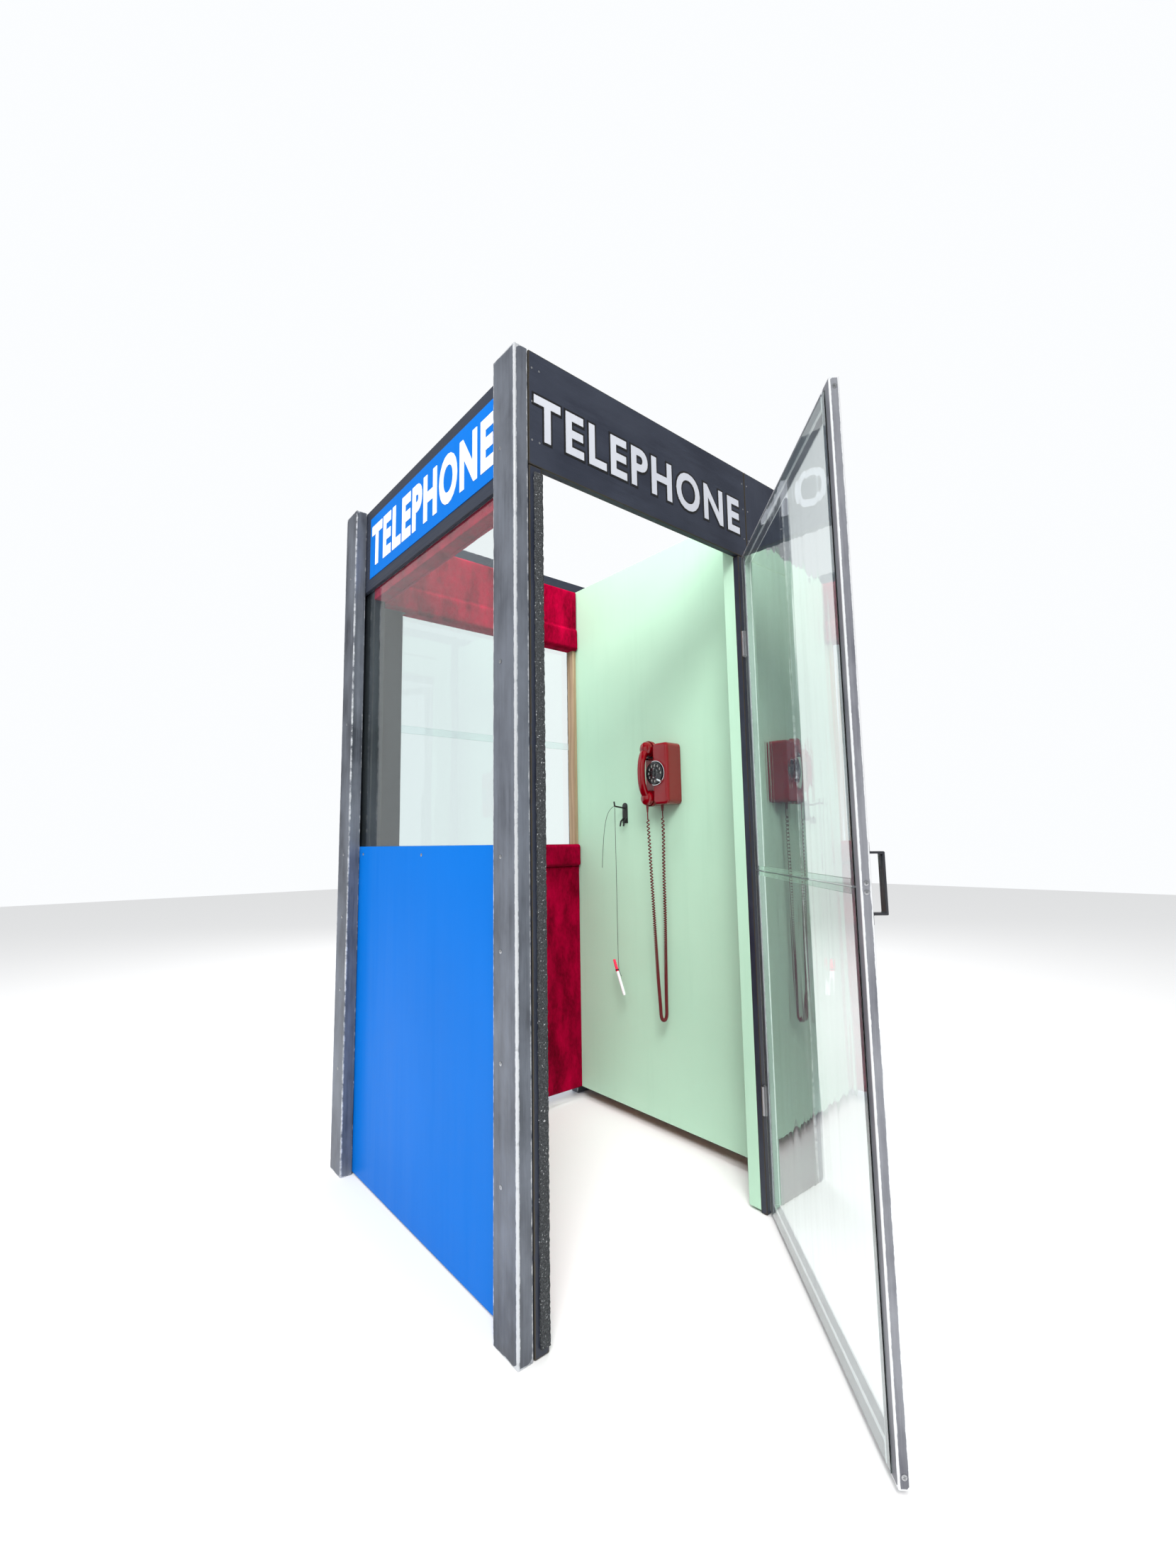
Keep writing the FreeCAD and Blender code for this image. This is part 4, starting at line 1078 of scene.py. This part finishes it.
velvetCloths = {
    "pitch": 0.006, "crush": 0.0010,            # metres: spacing of the grid and height of small creases
    "panel": 0.0115, "rail": 0.0175,            # how far the cloth stands off the studs over each
    "folds": 7, "foldHeight": 0.0105,
    "hem": 0.0030,                              # how far the hung cloth stands off between its folds
}


def creases(a, b, rng, count, shortest, longest):
    # waves that run every way, each bent by a slower one; long waves stand higher than short ones
    total = 0.0
    for _ in range(count):
        wave = math.exp(rng.uniform(math.log(shortest), math.log(longest)))
        way = rng.uniform(0, math.pi)
        bend, phase = rng.uniform(0, 2 * math.pi, 2)
        lean = 0.9 * np.sin((a - b) * 2 * math.pi / (wave * 2.7) + bend)
        run = (a * math.cos(way) + b * math.sin(way)) * 2 * math.pi / wave
        total = total + wave * np.sin(run + lean + phase)
    return total / np.abs(total).max()


def rounded(b, low, high, radius):   # 0 at both edges, rising to 1 along a quarter circle
    edge = np.clip(np.minimum(b - low, high - b) / radius, 0, 1)
    return np.sqrt(1 - (1 - edge) ** 2)


clothBack, clothLeast = 0.0002, 0.0008      # metres off the wall: the cloth's back, its front's least


def clothStrip(place, foot, head, depth):
    # the cloth's section runs up its front, depth off the wall, and back down the wall; the strip
    # carries that section along the wall
    axis, face, outward, start, end = place
    pitch = velvetCloths["pitch"]
    a = np.linspace(start, end, int((end - start) / pitch))[:, None]
    b = np.linspace(foot, head, int((head - foot) / pitch))[None, :]
    stand = np.maximum(depth(a, b), clothLeast)
    rows, columns = stand.shape
    points = np.empty((rows, columns + 2, 3))
    points[:, :columns, axis] = a
    points[:, :columns, 2] = b
    points[:, :columns, 1 - axis] = face + outward * stand
    for extra, level in ((columns, head), (columns + 1, foot)):
        points[:, extra, axis] = a[:, 0]
        points[:, extra, 2] = level
        points[:, extra, 1 - axis] = face + outward * clothBack
    return gridSurface(points, closed=True, caps=True)


def makeRailVelvet(name, node, place, rng):
    levels = [(low[2], high[2]) for low, high in boxesOf(node)]
    panelLow, panelHigh = levels[0]
    railLow = levels[1][0]
    sillLow, sillHigh = levels[2]
    start, end, settings = place[3], place[4], velvetCloths

    def upper(a, b):
        onRail = 1 / (1 + np.exp((b - panelLow) / 0.0022))      # 1 on the rail, 0 on the panel over it
        stand = settings["panel"] + (settings["rail"] - settings["panel"]) * onRail
        stand = stand - 0.0025 * np.exp(-((b - panelLow - 0.004) / 0.004) ** 2)
        ends = rounded(a, start, end, 0.006) * rounded(b, railLow, panelHigh, 0.009)
        return (stand + settings["crush"] * creases(a, b, rng, 26, 0.02, 0.12)) * ends

    def lower(a, b):
        ends = rounded(a, start, end, 0.006) * rounded(b, sillLow, sillHigh, 0.010)
        return (settings["rail"] + settings["crush"] * creases(a, b, rng, 22, 0.02, 0.10)) * ends

    surfaces = [clothStrip(place, railLow, panelHigh, upper), clothStrip(place, sillLow, sillHigh, lower)]
    piece = makePiece(name, surfaces, velvet, "booth", (node,), merge=True)


def makeHungVelvet(name, node, place, rng):
    low, high = boxesOf(node)[0]
    start, end, settings = place[3], place[4], velvetCloths
    count = settings["folds"]
    top = start + (np.arange(count) + rng.uniform(0.25, 0.75, count)) / count * (end - start)
    lean, bow = rng.normal(0, 0.06, count), rng.normal(0, 0.08, count)
    sway, swing = rng.uniform(0.004, 0.016, count), rng.uniform(0, 6.3, count)
    wide, tall = rng.uniform(0.018, 0.046, count), rng.uniform(0.6, 1.2, count)

    def depth(a, b):
        drop = (high[2] - b) / (high[2] - low[2])
        folds = 0.0
        for i in range(count):
            ridge = top[i] + lean[i] * drop + bow[i] * drop ** 2 + sway[i] * np.sin(drop * 9 + swing[i])
            across = (a - ridge) / (wide[i] * (0.7 + 0.9 * drop))
            folds = folds + tall[i] * (0.25 + 0.75 * np.sqrt(drop)) * np.exp(-across ** 2)
        stand = settings["hem"] + settings["foldHeight"] * np.tanh(folds)
        stand = stand + settings["crush"] * 1.3 * creases(a, b, rng, 26, 0.03, 0.22)
        return stand * rounded(a, start, end, 0.008) * rounded(b, low[2], high[2], 0.006)

    cloth = clothStrip(place, low[2], high[2], depth)
    piece = makePiece(name, [cloth], velvet, "booth", (node,), merge=True)


clothPlaces = {}
for wall, node, axis, outward in (("left", "left_lower_velvet", 1, 1), ("back", "back_lower_velvet", 0, -1)):
    low, high = boxesOf(node)[0]
    face = low[1 - axis] if outward > 0 else high[1 - axis]
    clothPlaces[wall] = (axis, face, outward, low[axis], high[axis])
backRails = boxesOf("back_velvet_rails")[0]
railPlaces = {"left": clothPlaces["left"],
              "back": (*clothPlaces["back"][:3], backRails[0][0], backRails[1][0])}
for seed, wall in ((11, "left"), (12, "back")):
    rng = np.random.default_rng(seed)
    makeRailVelvet(wall + "RailVelvet", wall + "_velvet_rails", railPlaces[wall], rng)
for seed, wall in ((13, "left"), (14, "back")):
    rng = np.random.default_rng(seed)
    makeHungVelvet(wall + "HungVelvet", wall + "_lower_velvet", clothPlaces[wall], rng)
print("velvet made")


# telephone casing: rounded blocks and the dial's drum, run together and smoothed

phoneCasing = {
    "size": (139.0, 216.0), "corner": 16.0, "ease": 9.0,       # mm
    "low": 38.0, "high": 69.6,                # how far the low and the high part stand off the wall
    "highSide": (-69.5, 3.5), "slope": 10.0,  # the high part's sides, and how far its flank slopes
    "drum": (-13.5, 2.0, 44.0),               # sideways, up and radius
    "voxel": 1.6, "smoothing": 10,
}


def roundedBlock(back, front, sides, levels, corner, ease):
    # a rounded rectangle carried outwards, and drawn in along a quarter circle at the front
    arc = np.radians(np.linspace(0, 90, 7))
    turn = np.concatenate([arc + math.pi / 2 * k for k in range(4)])
    sign = np.repeat([(1, 1), (-1, 1), (-1, -1), (1, -1)], 7, axis=0)
    half = np.array([sides[1] - sides[0], levels[1] - levels[0]]) / 2
    centre = np.array([sides[0] + sides[1], levels[0] + levels[1]]) / 2
    tilt = np.radians(np.linspace(0, 90, 6))
    outs = np.concatenate([[back], front - ease + ease * np.sin(tilt)])
    insets = np.concatenate([[0.0], ease * (1 - np.cos(tilt))])
    radius = np.maximum(corner - insets, 0.5)[:, None, None]
    reach = half - insets[:, None, None] - radius
    ring = sign[None] * reach + radius * np.stack([np.cos(turn), np.sin(turn)], -1)[None] + centre
    return gridSurface(phonePoint(outs[:, None], ring[..., 0], ring[..., 1]), closed=True, caps=True)


def phoneLathe(profile, side, up, count=64):   # profile of (out, radius) in mm
    profile = np.asarray(profile, float) * mm
    start = phonePoint(0.0, side, up)
    return lathe(profile, start, (-1.0, 0.0, 0.0), count)


def blended(name, surfaces, voxel, smoothing):
    # one skin round all the surfaces, by voxels, then smoothed
    whole = joined(surfaces)
    mesh = bpy.data.meshes.new(name)
    mesh.from_pydata(whole["points"].tolist(), [], whole["faces"])
    mergeDoubles(mesh)
    holder = linked(name + "Raw", mesh)
    remesh = holder.modifiers.new("skin", "REMESH")
    remesh.mode = "VOXEL"
    remesh.voxel_size = voxel * mm
    smooth = holder.modifiers.new("smooth", "SMOOTH")
    smooth.factor = 0.5
    smooth.iterations = smoothing
    bpy.context.view_layer.update()
    graph = bpy.context.evaluated_depsgraph_get()
    skin = bpy.data.meshes.new_from_object(holder.evaluated_get(graph))
    bpy.data.objects.remove(holder)
    skin.name = name
    skin.shade_smooth()
    return skin


def placed(name, mesh, material, body, nodes=()):
    mesh.materials.clear()
    mesh.materials.append(material)
    return settle(linked(name, mesh), body, nodes)


def makeCasing(settings):
    wide, tall = settings["size"]
    side, up, radius = settings["drum"]
    levels = (-tall / 2, tall / 2)
    first, last = settings["highSide"]
    corner, ease = settings["corner"], settings["ease"]
    shells = [roundedBlock(0.2, settings["low"], (-wide / 2, wide / 2), levels, corner, ease)]
    for step in np.linspace(0, 1, 6):      # the high part's flank slopes down to the low part in steps
        front = settings["high"] - (settings["high"] - settings["low"]) * (1 - math.cos(step * math.pi / 2))
        edge = last + settings["slope"] * step ** 2
        shells.append(roundedBlock(0.2, front, (first, edge), levels, corner, ease))
    drum = [(0.2, 0.0), (0.2, radius), (settings["high"] - 3, radius), (settings["high"] - 0.9, radius - 0.9),
            (settings["high"], radius - 3), (settings["high"], 0.0)]
    shells.append(phoneLathe(drum, side, up))
    skin = blended("phoneCasing", shells, settings["voxel"], settings["smoothing"])
    placed("phoneCasing", skin, redPlastic, "booth", ("phone_housing",))


makeCasing(phoneCasing)


# handset: two cups and a bowed grip run together, with screwed caps

handset = {
    "side": 33.5, "ear": 93.0, "mouth": -83.0, "cupRadius": 26.3,      # mm, from the casing's middle
    "bow": [(64, 90), (74, 82), (84.5, 66), (92.5, 38), (94.3, 5), (92.5, -28), (84.5, -56), (74, -72),
            (64, -80)],
    "width": (30.0, 33.0), "thick": (18.0, 22.0),        # of the grip at its middle and at its ends
    "voxel": 1.2, "smoothing": 7,
}


def makeHandset(settings):
    # the grip is a superellipse, wider and thicker at its ends, carried along the bow
    bow = np.array(settings["bow"], float)
    line = splinePoints("bow", np.c_[bow[:, 0], np.zeros(len(bow)), bow[:, 1]], 10)
    t = arcLength(line) / arcLength(line)[-1]
    heading = np.gradient(line, axis=0)
    heading /= np.linalg.norm(heading, axis=1)[:, None]
    outward = np.stack([-heading[:, 2], np.zeros(len(t)), heading[:, 0]], -1)
    outward *= np.sign(outward[:, :1].sum())
    ends = np.abs(2 * t - 1) ** 2.5
    wide = np.interp(ends, (0, 1), settings["width"])[:, None] / 2
    thick = np.interp(ends, (0, 1), settings["thick"])[:, None] / 2
    angle = np.arange(28) * 2 * math.pi / 28
    c, s = np.cos(angle), np.sin(angle)
    power = 2 / 2.6
    across = wide * np.sign(c) * np.abs(c) ** power
    lift = thick * np.sign(s) * np.abs(s) ** power
    local = line[:, None] + lift[..., None] * outward[:, None]
    grip = phonePoint(local[..., 0], settings["side"] + across, local[..., 2])
    shells = [gridSurface(grip, closed=True, caps=True)]
    r = settings["cupRadius"]
    cup = [(57.6, 0.0), (57.6, r), (66, r), (71, r - 0.8), (76, r - 4), (80, r - 9.5), (83.5, r - 17),
           (85, 0.0)]                      # out from the wall, radius
    for level in (settings["ear"], settings["mouth"]):
        shells.append(phoneLathe(cup, settings["side"], level, 48))
    skin = blended("handsetGrip", shells, settings["voxel"], settings["smoothing"])
    placed("handsetGrip", skin, redPlastic, "handset", ("handset_grip",))
    easedCopy("earCap", "ear_cap", 0.0005, redPlastic, "handset", angle=50)
    easedCopy("mouthCap", "mouth_cap", 0.0005, redPlastic, "handset", angle=50)


makeHandset(handset)


# dial: black plate and wheel, bright rim and stop, white figures and card

dialSettings = {
    "side": -13.5, "up": 2.0, "plate": 72.5,     # mm: the axis, and the plate's height off the wall
    "circle": 27.5, "disc": 5.3, "discThick": 0.3,
    "figure": 6.2, "figureThick": 0.15, "stroke": 0.03,      # the stroke is a share of the height
    "rim": 41.0, "card": 15.2, "wheelTop": 78.0,
}


def aroundDial(settings, centres):   # distance from the dial's axis and height off the wall, in mm
    middle = phonePoint(0.0, settings["side"], settings["up"])
    radius = np.hypot(centres[:, 1] - middle[1], centres[:, 2] - middle[2]) / mm
    return radius, (wallFace - centres[:, 0]) / mm


def makeDial(settings):
    def rimAndStop(centres):
        radius, height = aroundDial(settings, centres)
        return (radius > settings["rim"] - 0.7) | (height > settings["plate"] + 0.1)

    def cardRing(centres):
        radius, height = aroundDial(settings, centres)
        return (abs(radius - settings["card"]) < 1.2) & (height > settings["wheelTop"] + 0.05)

    plate = easedCopy("dialPlate", "dial_plate", 0.0004, dialBlack, "booth")
    recolour(plate, chrome, rimAndStop)
    wheel = easedCopy("fingerWheel", "finger_wheel", 0.0004, dialBlack, "dial_wheel")
    recolour(wheel, chrome, cardRing)
    discs, figures = [], []
    base = settings["plate"]
    for index in range(10):
        turn = math.radians(30 * index)
        side = settings["side"] - settings["circle"] * math.cos(turn)
        up = settings["up"] + settings["circle"] * math.sin(turn)
        r = settings["disc"]
        top = base + settings["discThick"]
        disc = [(base, 0), (base, r), (top - 0.05, r), (top, r - 0.2), (top, 0)]
        discs.append(phoneLathe(disc, side, up, 24))
        mesh, points = wordMesh(str((index + 1) % 10), settings["stroke"], 1.0)
        low, high = points.min(0), points.max(0)
        scale = settings["figure"] / (high[1] - low[1])
        flat = (points[:, :2] - (low[:2] + high[:2]) / 2) * scale
        out = top + settings["figureThick"] * (0.5 + points[:, 2] / wordDepth)
        place = phonePoint(out, side - flat[:, 0], up + flat[:, 1])
        faces = [list(face.vertices) for face in mesh.polygons]
        figures.append({"points": place, "faces": faces, "uv": np.zeros((len(place), 2))})
    makePiece("dialSpots", discs, dialWhite, "booth", merge=True, sharp=40)
    makePiece("dialFigures", figures, blackLine, "booth", merge=True, sharp=40)


makeDial(dialSettings)


# marker, hooks and strain reliefs

marker = {
    "top": (55, 234, -665), "axis": (0.0, -0.39073, -0.92050),     # out, side, up in mm; downwards
    "cap": [(0, 0), (0, 3.2), (0.6, 4.0), (2, 4.5), (3, 5.0), (41, 5.55), (43.4, 5.55), (44, 5.3), (44, 0)],
    "barrel": [(33, 0), (33, 2.2), (38, 3.6), (43, 4.2), (44.2, 5.2), (46, 5.25), (124, 5.25), (126, 5.1),
               (127, 4.2), (130, 4.0), (130, 0)],
    # where the string is tied, down from the top; the radii of its turns, of the string and of the knot
    "tie": {"down": 39.0, "radius": 6.3, "string": 0.8, "turns": 2, "knot": 2.3, "knotOut": 7.3},
}


def makeMarker(settings):
    start = phonePoint(*settings["top"])
    for name, part, material, body, slotName in (
            ("markerCap", "cap", pinkPlastic, "booth", "pink_plastic"),
            ("markerBarrel", "barrel", whitePlastic, "marker", "white_plastic")):
        surface = lathe(np.array(settings[part], float) * mm, start, settings["axis"], 40)
        makePiece(name, [surface], material, body, ("marker_" + part,), merge=True, sharp=35)


def makeTie(settings, tie):
    # a helix of string round the cap, and the knot that joins it to the hanging string
    axis = np.array(settings["axis"])
    across = np.array([0.0, axis[2], -axis[1]])
    centre = phonePoint(*settings["top"]) + tie["down"] * mm * axis
    turn = np.linspace(0, 2 * math.pi * tie["turns"], 24 * tie["turns"] + 1)[:, None]
    ring = np.cos(turn) * across + np.sin(turn) * np.cross(axis, across)
    climb = (turn / turn[-1] - 0.5) * tie["turns"] * 2 * tie["string"]
    path = centre + (tie["radius"] * ring + climb * axis) * mm
    reach = np.linspace(0, math.pi, 11)
    ball = np.c_[-np.cos(reach), np.sin(reach)] * tie["knot"] * mm
    knot = lathe(ball, centre + tie["knotOut"] * mm * across, axis, 16)
    surfaces = [sweptTube(path, tie["string"] * mm, 8), knot]
    makePiece("stringTie", surfaces, stringBlack, "booth", merge=True, sharp=60)


def makeRelief(name, node, body, ribs):
    # a sleeve that tapers downwards, with grooves between its ribs
    low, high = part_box(node)
    radius = (high.x - low.x) / 2
    length = high.z - low.z
    t = np.linspace(0, 1, ribs * 8 + 1)
    groove = 0.5 - 0.5 * np.cos(t * ribs * 2 * math.pi)
    outer = radius * (1 - 0.42 * t) * (1 - 0.12 * np.clip(groove * 2 - 1, 0, 1))
    profile = np.vstack([[0, 0], np.c_[t * length, outer], [length, 0]])
    start = ((low.x + high.x) / 2, (low.y + high.y) / 2, high.z)
    sleeve = lathe(profile, start, (0, 0, -1), 28)
    makePiece(name, [sleeve], cordPlastic, body, (node,), merge=True, sharp=60)


makeMarker(marker)
makeTie(marker, marker["tie"])
makeRelief("handsetRelief", "handset_relief", "handset", 5)
makeRelief("casingRelief", "phone_relief", "booth", 5)
easedCopy("stringHook", "wall_hook", 0.0006, blackMetal, "booth")
easedCopy("cradleHook", "hook_lever", 0.0008, blackMetal, "hook")

insides = {
    "phone_backplate": steel, "dial_mechanism": steel, "ringer": brassGong, "handset_capsules": blackMetal,
    "hinge_pins": steel,
}
for node, material in insides.items():
    for materialSlot in frame["nodes"][node].material_slots:
        materialSlot.material = material
print("telephone, marker and hooks made")
